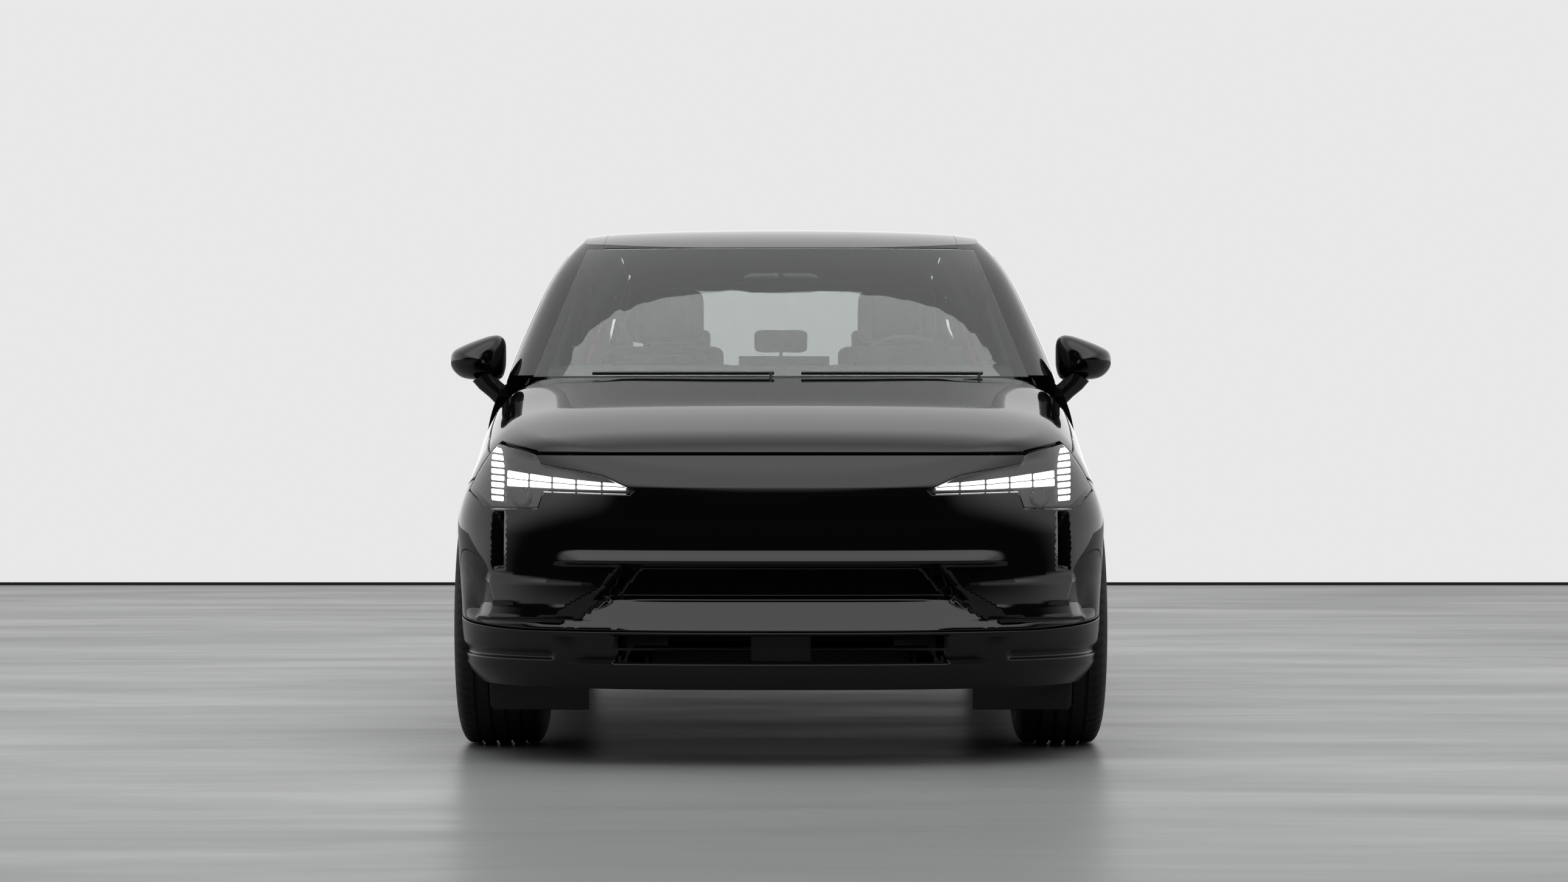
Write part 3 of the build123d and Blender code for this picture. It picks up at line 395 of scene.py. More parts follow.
@dataclass(frozen=True)
class BodyForm:
    """The car's outer surface as distances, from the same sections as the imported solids.

    Attributes:
        front_axle: station of the front axle.
        rear_axle: station of the rear axle.
        shoulder: rounding where the bonnet meets the sides.
        gutter: rounding where the roof meets the sides.
        belt: height where the cabin takes over from the lower body.
        door: half width of the lower body by height.
        nose_line: station of the nose by height.
        tail_line: station of the tail by height.
        bonnet_line: height of the bonnet's middle by station.
        cabin: half width of the cabin by height.
        screen_line: station of the windscreen's middle by height.
        backlight_line: station of the tailgate glass by height.
        roof_line: height of the roof's middle by station.
    """

    front_axle: float = -1.317
    rear_axle: float = 1.333
    shoulder: float = 0.07
    gutter: float = 0.045
    belt: float = 1.0205
    door: Curve = field(default_factory=lambda: Curve([
        (150, 790), (190, 815), (230, 850), (300, 880), (420, 890), (560, 898), (700, 903), (800, 903),
        (880, 898), (950, 885), (1000, 866), (1060, 836), (1120, 800)]))
    nose_line: Curve = field(default_factory=lambda: Curve([
        (150, -2030), (205, -2064), (280, -2097), (362, -2116), (450, -2108), (560, -2096), (660, -2082),
        (758, -2062), (880, -2040), (1000, -2020), (1120, -2000)]))
    tail_line: Curve = field(default_factory=lambda: Curve([
        (150, 2010), (220, 2062), (350, 2104), (450, 2115), (550, 2116), (620, 2110), (700, 2088),
        (800, 2068), (900, 2052), (1000, 2030), (1120, 1995)]))
    bonnet_line: Curve = field(default_factory=lambda: Curve([
        (-2200, 560), (-2116, 690), (-2062, 758), (-1985, 838), (-1840, 905), (-1600, 962), (-1300, 1008),
        (-1080, 1040), (-980, 1054), (-700, 1072), (-400, 1085)]))
    cabin: Curve = field(default_factory=lambda: Curve([
        (960, 862), (1000, 852), (1069, 833), (1140, 811), (1211, 785), (1333, 739), (1420, 697), (1480, 655),
        (1525, 612), (1570, 560)]))
    screen_line: Curve = field(default_factory=lambda: Curve([
        (960, -1165), (1054, -1000), (1200, -752), (1350, -488), (1468, -268), (1570, -60)]))
    backlight_line: Curve = field(default_factory=lambda: Curve([
        (960, 2040), (1060, 1985), (1180, 1916), (1300, 1846), (1420, 1775), (1500, 1728), (1570, 1686)]))
    roof_line: Curve = field(default_factory=lambda: Curve([
        (-500, 1392), (-268, 1468), (-100, 1510), (100, 1540), (320, 1549), (700, 1544), (1100, 1525),
        (1500, 1495), (1800, 1468), (2100, 1440)]))

    def half_width(self, y: Array, z: Array) -> Array:
        """Half of the lower body's width at a station and height."""
        w = self.door(z)
        w = w + 0.014 * np.exp(-(((y - self.front_axle) / 0.42) ** 2)) * (1 - ease(z, 0.65, 0.85))
        w = w + 0.018 * np.exp(-(((y - self.rear_axle) / 0.48) ** 2)) * (1 - ease(z, 0.8, 1.05))
        w = w - 0.058 * np.maximum(0, (-0.5 - y) / 0.817) ** 1.5 * ease(z, 0.62, 0.98)
        w = w - 0.028 * np.maximum(0, (-1.1 - y) / 0.9) ** 2
        return w - 0.04 * np.maximum(0, (y - 0.9) / 1.2) ** 2

    def glass_width(self, y: Array, z: Array) -> Array:
        """Half of the cabin's width at a station and height."""
        w = self.cabin(z) - 0.018 * np.maximum(0, (-0.1 - y) / 0.7) ** 2
        return w - 0.07 * np.maximum(0, (y - 0.5) / 1.4) ** 2

    def bonnet_height(self, x: Array, y: Array) -> Array:
        """Height of the bonnet."""
        u = np.abs(x) / 0.8
        back = ease(y, -1.5, -0.9)
        return self.bonnet_line(y) - (0.014 - 0.008 * back) * u**2 - 0.046 * u ** (6 + 6 * back)

    def roof_height(self, x: Array, y: Array) -> Array:
        """Height of the roof."""
        u = np.abs(x) / 0.6
        return self.roof_line(y) - 0.013 * u**2 - 0.006 * u**8

    def sides(self, p: Array) -> Array:
        """Distance outside the lower body's sides and ends."""
        x, y, z = p.T
        return plan_distance(x, y, self.half_width(y, z), self.nose_line(z), self.tail_line(z),
                             0.43, 0.38, 2.6)

    def nose(self, p: Array) -> Array:
        """Distance outside the lower body under the bonnet's surface."""
        x, y, z = p.T
        rise = np.clip((self.bonnet_line(y + 0.01) - self.bonnet_line(y - 0.01)) / 0.02, 0, 2)
        top = (z - self.bonnet_height(x, y)) / np.sqrt(1 + rise**2)
        soft = self.shoulder * (0.35 + 0.65 * ease(y, -2.0, -1.7))
        return either(self.sides(p), top, soft)

    def walls(self, p: Array) -> Array:
        """Distance outside the cabin's glass and pillars."""
        x, y, z = p.T
        length = 0.26 - 0.06 * ease(z, 1.054, 1.468)
        return plan_distance(x, y, self.glass_width(y, z), self.screen_line(z), self.backlight_line(z),
                             length, 0.23, 2.3)

    def house(self, p: Array) -> Array:
        """Distance outside the cabin under its roof."""
        x, y, z = p.T
        return either(self.walls(p), z - self.roof_height(x, y), self.gutter)

    def shell(self, p: Array) -> Array:
        """Distance outside the doors and sides: the lower body under the belt, the cabin above it."""
        return np.where(p[:, 2] > self.belt, self.house(p), self.sides(p))


FORM = BodyForm()


# ---------------------------------------------------------------- meshes
class View(Enum):
    """The side from which a flat outline is laid on the body."""

    FRONT = "front"
    REAR = "rear"
    LEFT = "left"
    TOP = "top"
    NOSE = "nose"  # wrapped round the nose about a vertical axis
    TAIL = "tail"  # wrapped round the tail


# The drums that the nose and tail views are unrolled from.
DRUM_R = 0.9
DRUM_Y = 1.2


def rays(view: View, uv: Array) -> tuple[Array, Array, float]:
    """Start points, directions and length of the lines along which an outline lands on the body.

    Args:
        view: the side looked from.
        uv: the outline's points in that view, in metres.

    Returns:
        Start points, unit directions and the length searched.
    """
    u, v = uv.T
    one, none = np.ones_like(u), np.zeros_like(u)
    if view is View.FRONT:
        return np.stack([u, -2.4 * one, v], 1), np.stack([none, one, none], 1), 2.1
    if view is View.REAR:
        return np.stack([u, 2.4 * one, v], 1), np.stack([none, -one, none], 1), 1.6
    if view is View.LEFT:
        return np.stack([1.1 * one, u, v], 1), np.stack([-one, none, none], 1), 0.85
    if view is View.TOP:
        return np.stack([u, v, 1.8 * one], 1), np.stack([none, none, -one], 1), 1.4
    sign = -1 if view is View.NOSE else 1
    turn = u / DRUM_R
    out = np.stack([np.sin(turn), sign * np.cos(turn), none], 1)
    return np.stack([none, sign * DRUM_Y * one, v], 1) + 1.6 * out, -out, 1.45


def flatten(view: View, p: Array) -> Array:
    """Places of 3-D points in a view, the inverse of rays."""
    x, y, z = p.T
    if view in (View.FRONT, View.REAR):
        return np.stack([x, z], 1)
    if view is View.LEFT:
        return np.stack([y, z], 1)
    if view is View.TOP:
        return np.stack([x, y], 1)
    sign = -1 if view is View.NOSE else 1
    return np.stack([DRUM_R * np.arctan2(x, sign * (y - sign * DRUM_Y)), z], 1)


def crossing(a: Array, b: Array, margin: float = 0.0) -> Array:
    """Where a line from a to b passes zero, as a share that is kept a margin from its ends."""
    return np.clip(a / np.where(np.abs(a - b) < 1e-12, 1e-12, a - b), margin, 1 - margin)


def land(form: Form, view: View, uv: Array, drop: float = 0.0) -> Array:
    """Lands outline points on the body.

    Args:
        form: distance outside the surface.
        view: the side looked from.
        uv: points in that view.
        drop: how far under the surface to land.

    Returns:
        The 3-D points.
    """
    start, way, length = rays(view, uv)
    low, high = np.zeros(len(uv)), np.full(len(uv), length)
    for _ in range(13):
        middle = (low + high) / 2
        outside = form(start + way * middle[:, None]) + drop > 0
        low, high = np.where(outside, middle, low), np.where(outside, high, middle)
    a = form(start + way * low[:, None]) + drop
    b = form(start + way * high[:, None]) + drop
    for _ in range(4):
        t = low + (high - low) * crossing(a, b, 0.02)
        c = form(start + way * t[:, None]) + drop
        above = c > 0
        low, a = np.where(above, t, low), np.where(above, c, a)
        high, b = np.where(above, high, t), np.where(above, b, c)
    t = low + (high - low) * crossing(a, b)
    return start + way * t[:, None]


def resample(points: Array, step: float, closed: bool = True) -> Array:
    """Points along a polyline at most step apart, with its corners kept."""
    ends = np.roll(points, -1, axis=0) if closed else points[1:]
    rows = [a + (b - a) * (np.arange(n) / n)[:, None]
            for a, b in zip(points, ends)
            for n in [max(1, math.ceil(np.linalg.norm(b - a) / step))]]
    if not closed:
        rows.append(points[-1:])
    return np.concatenate(rows)


def rounded(points: Points, radius: float, grow: float = 0.0) -> Array:
    """A closed outline in metres from millimetre points, grown and with its corners rounded.

    Args:
        points: corners in millimetres.
        radius: corner radius in millimetres.
        grow: outward offset in millimetres, negative to shrink.

    Returns:
        The outline's points in metres.
    """
    p = np.array(points, float)
    area = np.sum(p[:, 0] * np.roll(p[:, 1], -1) - np.roll(p[:, 0], -1) * p[:, 1])
    if area < 0:
        p = p[::-1]
    into, out = p - np.roll(p, 1, 0), np.roll(p, -1, 0) - p
    into /= np.linalg.norm(into, axis=1)[:, None]
    out /= np.linalg.norm(out, axis=1)[:, None]
    normal_in = np.stack([into[:, 1], -into[:, 0]], 1)
    normal_out = np.stack([out[:, 1], -out[:, 0]], 1)
    share = 1 + np.sum(normal_in * normal_out, axis=1)
    p = p + grow * (normal_in + normal_out) / np.maximum(share, 0.3)[:, None]
    made = []
    lengths = np.linalg.norm(np.roll(p, -1, 0) - p, axis=1)
    for i in range(len(p)):
        bend = math.acos(float(np.clip(into[i] @ out[i], -1, 1)))
        reach = min(radius * math.tan(bend / 2), 0.45 * min(lengths[i - 1], lengths[i]))
        if reach < 0.3:
            made.append(p[i])
            continue
        a, b = p[i] - into[i] * reach, p[i] + out[i] * reach
        for t in np.linspace(0, 1, 7):
            made.append((1 - t) ** 2 * a + 2 * t * (1 - t) * p[i] + t * t * b)
    return np.array(made) / MM


def circle(u: float, v: float, radius: float, count: int = 96) -> Array:
    """A closed round outline in metres."""
    turn = np.linspace(0, 2 * math.pi, count, endpoint=False)
    return np.stack([u + radius * np.cos(turn), v + radius * np.sin(turn)], 1)


def within(uv: Array, loop: Array) -> Array:
    """Whether each point lies inside a closed outline."""
    x, y = uv.T
    inside = np.zeros(len(uv), bool)
    for (x0, y0), (x1, y1) in zip(loop, np.roll(loop, -1, axis=0)):
        if y0 == y1:
            continue
        inside ^= ((y0 > y) != (y1 > y)) & (x < (x1 - x0) * (y - y0) / (y1 - y0) + x0)
    return inside


class MeshKit:
    """Gathers points, faces, normals and materials for one object."""

    def __init__(self) -> None:
        """Starts empty."""
        self.points: list[Array] = []
        self.normals: list[Array] = []
        self.faces: list[tuple[int, ...]] = []
        self.slots: list[int] = []
        self.count = 0

    def add(self, points: Array, faces: Sequence[Sequence[int]], normals: Optional[Array] = None,
            slot: int = 0) -> None:
        """Adds some faces.

        Args:
            points: vertex places.
            faces: vertex numbers of each face.
            normals: a normal for each vertex, or None for smooth shading with sharp edges kept.
            slot: material slot number.
        """
        self.points.append(np.asarray(points, float))
        self.normals.append(np.zeros((len(points), 3)) if normals is None else np.asarray(normals, float))
        self.faces += [tuple(int(k) + self.count for k in f) for f in faces]
        self.slots += [slot] * len(faces)
        self.count += len(points)

    def mirror(self) -> "MeshKit":
        """The same kit on the car's other side."""
        other = MeshKit()
        flip = np.array([-1.0, 1.0, 1.0])
        other.points = [p * flip for p in self.points]
        other.normals = [n * flip for n in self.normals]
        other.faces = [f[::-1] for f in self.faces]
        other.slots = list(self.slots)
        other.count = self.count
        return other

    def join(self, other: "MeshKit") -> None:
        self.points += other.points
        self.normals += other.normals
        self.faces += [tuple(k + self.count for k in f) for f in other.faces]
        self.slots += other.slots
        self.count += other.count

    def make(self, name: str, body: str, finishes: Sequence[Finish], replaced: Sequence[str] = (),
             sharp: float = 35.0) -> bpy.types.Object:
        """Args:
            name: object name.
            body: CAD body that it rides on.
            finishes: one finish for each slot.
            replaced: CAD nodes that it stands for.
            sharp: edges turned by more than this many degrees stay sharp.

        Returns:
            The new object.
        """
        mesh = bpy.data.meshes.new(name)
        points, normals = np.concatenate(self.points), np.concatenate(self.normals)
        mesh.from_pydata(points.tolist(), [], self.faces)
        mesh.polygons.foreach_set("use_smooth", [True] * len(mesh.polygons))
        mesh.polygons.foreach_set("material_index", self.slots)
        for finish in finishes:
            mesh.materials.append(finish.make())
        mesh.set_sharp_from_angle(angle=math.radians(sharp))
        if np.abs(normals).sum() > 0:
            corner = np.zeros(len(mesh.loops), int)
            mesh.loops.foreach_get("vertex_index", corner)
            mesh.normals_split_custom_set([tuple(v) for v in normals[corner]])
        obj = bpy.data.objects.new(name, mesh)
        bpy.context.scene.collection.objects.link(obj)
        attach(obj, body)
        if replaced:
            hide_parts(*replaced)
        LOG.info("%s: %d faces on %s", name, len(mesh.polygons), body)
        return obj


@dataclass
class Skin:
    """A pressed or moulded outer panel laid on the body's surface, with rolled edges.

    Attributes:
        form: distance outside the surface that it lies on.
        view: side from which its outlines are drawn.
        keep: outlines that the panel lies inside.
        cut: outlines of its openings.
        step: size of its mesh.
        drop: how far under the surface it lies.
        roll: radius of its rolled edge.
        flange: depth of the flange behind the edge.
        relief: how far it stands in or out along the view, from uv and the landed points.
        edge_step: spacing of the points along its outlines and creases.
        creases: open lines that the mesh follows.
    """

    form: Form
    view: View
    keep: list[Array]
    cut: list[Array] = field(default_factory=list)
    step: float = 0.02
    drop: float = 0.0
    roll: float = 0.003
    flange: float = 0.014
    relief: Optional[Relief] = None
    edge_step: float = 0.008
    creases: list[Array] = field(default_factory=list)

    def place(self, uv: Array) -> Array:
        """Lands points on the surface and adds the relief."""
        p = land(self.form, self.view, uv, self.drop)
        if self.relief:
            p = p - rays(self.view, uv)[1] * self.relief(uv, p)[:, None]
        return p

    def facing(self, uv: Array) -> Array:
        """Outward normals of the surface at points."""
        e = 0.0015
        du = self.place(uv + (e, 0)) - self.place(uv - (e, 0))
        dv = self.place(uv + (0, e)) - self.place(uv - (0, e))
        n = np.cross(du, dv)
        n /= np.maximum(np.linalg.norm(n, axis=1), 1e-12)[:, None]
        way = rays(self.view, uv)[1]
        return np.where((np.sum(n * way, axis=1) > 0)[:, None], -n, n)

    def triangles(self) -> tuple[Array, list[tuple[int, int, int]]]:
        """Fills the outlines with triangles in the view."""
        loops = [resample(loop, self.edge_step) for loop in self.keep + self.cut]
        low, high = loops[0].min(0), loops[0].max(0)
        for loop in loops[1:len(self.keep)]:
            low, high = np.maximum(low, loop.min(0)), np.minimum(high, loop.max(0))
        us = np.arange(low[0] + self.step / 2, high[0], self.step)
        vs = np.arange(low[1] + self.step / 2, high[1], self.step)
        grid = np.stack([(us[:, None] + np.where(np.arange(len(vs)) % 2, 0, self.step / 2)[None, :]).ravel(),
                         np.tile(vs, len(us))], 1)
        grid = grid[self.chosen(grid)]
        creases = [resample(line, self.edge_step, False) for line in self.creases]
        lines = [line for line in (c[self.chosen(c)] for c in creases) if len(line) > 1]
        edge = np.concatenate(loops + lines)
        if len(grid):
            near = np.full(len(grid), 9.0)
            for part in np.array_split(edge, max(1, len(edge) // 200)):
                near = np.minimum(near, np.linalg.norm(grid[:, None] - part[None], axis=2).min(1))
            grid = grid[near > 0.55 * min(self.step, self.edge_step * 1.4)]
        points = np.concatenate([edge, grid]) if len(grid) else edge
        edges, start = [], 0
        for loop in loops:
            n = len(loop)
            edges += [(start + k, start + (k + 1) % n) for k in range(n)]
            start += n
        for line in lines:
            near = np.linalg.norm(np.diff(line, axis=0), axis=1) < 1.5 * self.edge_step
            edges += [(start + k, start + k + 1) for k in np.flatnonzero(near)]
            start += len(line)
        found = delaunay_2d_cdt([Vector(p) for p in points.tolist()], edges, [], 0, 1e-6, False)
        uv = np.array([tuple(v) for v in found[0]])
        faces = np.array([f for f in found[2] if len(f) == 3])
        faces = faces[self.chosen(uv[faces].mean(axis=1))]
        used, back = np.unique(faces, return_inverse=True)
        return uv[used], [tuple(f) for f in back.reshape(-1, 3)]

    def chosen(self, uv: Array) -> Array:
        """Whether points lie in the panel."""
        inside = np.ones(len(uv), bool)
        for loop in self.keep:
            inside &= within(uv, loop)
        for loop in self.cut:
            inside &= ~within(uv, loop)
        return inside

    def add_to(self, kit: MeshKit, slot: int = 0) -> None:
        """Builds the panel into a kit.

        Args:
            kit: where its faces go.
            slot: material slot number.
        """
        uv, faces = self.triangles()
        points, normals = self.place(uv), self.facing(uv)
        tri = np.array(faces)
        cross = np.cross(points[tri[:, 1]] - points[tri[:, 0]], points[tri[:, 2]] - points[tri[:, 0]])
        if np.sum(cross * normals[tri[:, 0]]) < 0:
            tri = tri[:, ::-1]
        edges: dict[tuple[int, int], int] = {}
        for a, b, c in tri.tolist():
            for pair in ((a, b), (b, c), (c, a)):
                edges[pair] = 1
        rim = [pair for pair in edges if (pair[1], pair[0]) not in edges]
        if not self.roll or not rim:
            kit.add(points, tri.tolist(), normals, slot)
            return
        along = np.zeros_like(points)
        for a, b in rim:
            d = points[b] - points[a]
            d /= max(np.linalg.norm(d), 1e-9)
            along[a] += d
            along[b] += d
        ends = sorted({a for pair in rim for a in pair})
        out = np.cross(along[ends], normals[ends])
        out /= np.maximum(np.linalg.norm(out, axis=1), 1e-9)[:, None]
        inward, r = normals[ends], self.roll
        tip = points[ends] + out * 0.0003
        points[ends] = tip - out * r
        turns = (0.52, 1.05, math.pi / 2)
        rows = [tip - out * r * (1 - math.sin(t)) - inward * r * (1 - math.cos(t)) for t in turns]
        rows.append(rows[-1] - inward * self.flange)
        turned = [inward * math.cos(t) + out * math.sin(t) for t in turns] + [out]
        count, base = len(points), {e: k for k, e in enumerate(ends)}
        made = tri.tolist()
        for a, b in rim:
            last_a, last_b = a, b
            for level in range(len(rows)):
                next_a = count + level * len(ends) + base[a]
                next_b = count + level * len(ends) + base[b]
                made.append([last_b, last_a, next_a, next_b])
                last_a, last_b = next_a, next_b
        kit.add(np.concatenate([points, *rows]), made, np.concatenate([normals, *turned]), slot)


ADRIFT = 0.02  # a face that stands further out than this belongs to no skin
CLEAR_OF_SKIN = 0.0035  # how far under the skin the copied faces stay


def inner_faces(kit: MeshKit, node: str, form: Form, near: float = 0.005) -> None:
    """Copies a CAD node without its outer skin, and draws in what stands out of the surface.

    Args:
        kit: where the faces go.
        node: CAD node's name.
        form: distance outside the outer surface.
        near: faces whose corners all lie nearer to the surface than this are left out.
    """
    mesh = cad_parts[node].data
    points = np.zeros(len(mesh.vertices) * 3)
    mesh.vertices.foreach_get("co", points)
    points = points.reshape(-1, 3)
    distance = form(points)
    faces = [f for f in mesh.polygons if min(distance[k] for k in f.vertices) < -near
             and max(distance[k] for k in f.vertices) < ADRIFT]
    e = 0.001
    slope = np.stack([form(points + np.eye(3)[k] * e) - form(points - np.eye(3)[k] * e) for k in range(3)], 1)
    slope /= np.maximum(np.linalg.norm(slope, axis=1), 1e-9)[:, None]
    points = points - slope * np.maximum(distance + CLEAR_OF_SKIN, 0)[:, None]
    kit.add(points, [tuple(f.vertices) for f in faces])


def carry(form: Form, source: View, uv: Array, target: View) -> Array:
    """Points drawn in one view, carried over the body into another view."""
    return flatten(target, land(form, source, uv))


def path(*corners: tuple[float, float], step: float = 0.008) -> Array:
    """Points along an open line through corners given in millimetres, in metres."""
    return resample(np.array(corners, float) / MM, step, closed=False)


def both_halves(half: Array) -> Array:
    """A closed outline from its left half, which starts and ends on the centre line."""
    other = half[::-1] * (-1, 1)
    return np.concatenate([half[half[:, 0] > 1e-4], other[other[:, 0] < -1e-4]])


# ---------------------------------------------------------------- shared outlines, in millimetres
HEADLAMP = ((389, 739), (480, 778), (652, 809), (668, 838), (812, 872), (905, 840), (905, 770), (800, 685),
            (655, 687), (640, 733), (402, 727))
TAILGATE_SEAL = ((-590, 640), (590, 640), (688, 765), (702, 1000), (628, 1200), (550, 1432),
                 (-550, 1432), (-628, 1200), (-702, 1000), (-688, 765))
TAIL_LAMP = ((730, 720), (900, 700), (900, 960), (735, 940))
UPPER_TAIL_LAMP = ((705, 1090), (760, 1090), (650, 1370), (610, 1370))


def arches(view: View) -> list[Array]:
    """The edges of both front wheel openings in a view."""
    left = carry(FORM.sides, View.LEFT, circle(FORM.front_axle, WHEEL_R, ARCH_R), view)
    return [left, left * (-1, 1)]


def follow(form: Form, s: Array, line: Points) -> tuple[Array, Array]:
    """A line round the nose whose height is known by station.

    Args:
        form: distance outside the surface.
        s: places across the unrolled nose.
        line: (station, height) pairs in millimetres.

    Returns:
        The line in the unrolled view, and landed on the body.
    """
    stations, heights = np.array(line).T / MM
    uv = np.stack([s, np.full(len(s), 0.37)], 1)
    for _ in range(3):
        p = land(form, View.NOSE, uv)
        uv[:, 1] = np.interp(p[:, 1], stations, heights)
    return uv, p


def lamp_outline(grow: float, view: View, back: float = LAMP_BACK) -> Array:
    """The left headlamp's outline on the body.

    Args:
        grow: outward offset in millimetres.
        view: view that the outline is wanted in.
        back: station behind which the lamp ends.

    Returns:
        The closed outline in that view.
    """
    ring = resample(rounded(HEADLAMP, 5, grow), 0.004)
    p = land(FORM.nose, View.FRONT, ring)
    ahead = p[:, 1] < back
    start = int(np.flatnonzero(ahead & ~np.roll(ahead, 1))[0])
    p = np.roll(p, -start, axis=0)[: int(ahead.sum())]
    side = path((back * MM, p[-1, 2] * MM), (back * MM, p[0, 2] * MM), step=0.004)[1:-1]
    return np.concatenate([flatten(view, p), carry(FORM.nose, View.LEFT, side, view)])


# ---------------------------------------------------------------- front end
@dataclass
class Bonnet:
    """The clamshell bonnet with its shallow scoops ahead of the windscreen.

    Attributes:
        side_line: (station, height) of its side edges in millimetres.
        front_height: height of its front edge.
        gap: half of the shut gap.
        screen_gap: distance kept from the windscreen.
        rear: station of its rear edge's middle.
        scoop: depth of the scoops.
    """

    side_line: Points = ((-1795, 838), (-1740, 836), (-1500, 880), (-1200, 925), (-900, 965), (-750, 985))
    front_height: float = 0.838
    gap: float = 0.003
    screen_gap: float = 0.014
    rear: float = -0.753
    scoop: float = 0.006

    def edge(self, y: Array) -> Array:
        """Height of the side edge at stations, in metres."""
        line = np.array(self.side_line) / MM
        return np.interp(y, line[:, 0], line[:, 1])

    def rear_edge(self) -> Array:
        """The edge along the windscreen, from the side to the middle, seen from above."""
        xs, ys = np.linspace(0.88, 0.0, 60), np.linspace(-1.15, self.rear, 160)
        grid = np.stack([np.repeat(xs, len(ys)), np.tile(ys, len(xs))], 1)
        gap = FORM.walls(land(FORM.nose, View.TOP, grid)).reshape(len(xs), len(ys)) - self.screen_gap
        made = []
        for x, row in zip(xs, gap):
            hit = np.flatnonzero(row < 0)
            if not len(hit):
                continue
            k = max(int(hit[0]), 1)
            y = ys[k - 1] + (ys[k] - ys[k - 1]) * row[k - 1] / (row[k - 1] - row[k]) if hit[0] else ys[0]
            made.append((x, y))
        return np.array(made)

    def outline(self) -> Array:
        """The whole bonnet's outline seen from above."""
        top = self.front_height + self.gap
        front = carry(FORM.nose, View.FRONT, path((0, top * MM), (655, top * MM)), View.TOP)
        lamp_line = path((662, 846), (812, 879), (905, 847))
        p = land(FORM.nose, View.FRONT, lamp_line)
        p = p[p[:, 1] < LAMP_BACK + self.gap]
        y = np.linspace(LAMP_BACK + self.gap, self.rear, 110)
        drop = path((MM * y[0], MM * p[-1, 2]), (MM * y[0], MM * (self.edge(y[0]) + self.gap)))
        side = np.concatenate([drop[:-1], np.stack([y, self.edge(y) + self.gap], 1)])
        return both_halves(np.concatenate([front, flatten(View.TOP, p),
                                           carry(FORM.nose, View.LEFT, side, View.TOP), self.rear_edge()]))

    def relief(self, uv: Array, p: Array) -> Array:
        """Depth of the scoops at points."""
        return -self.scoop * np.exp(-(((np.abs(uv[:, 0]) - 0.6) / 0.1) ** 2) - ((uv[:, 1] + 1.0) / 0.05) ** 2)

    def build(self) -> None:
        """Builds the skin over its inner frame."""
        kit = MeshKit()
        Skin(FORM.nose, View.TOP, [self.outline()], step=0.018, relief=self.relief,
             edge_step=0.009).add_to(kit)
        inner_faces(kit, "bonnet", FORM.nose)
        kit.make("bonnet_skin", "bonnet", [PAINT], ["bonnet"])


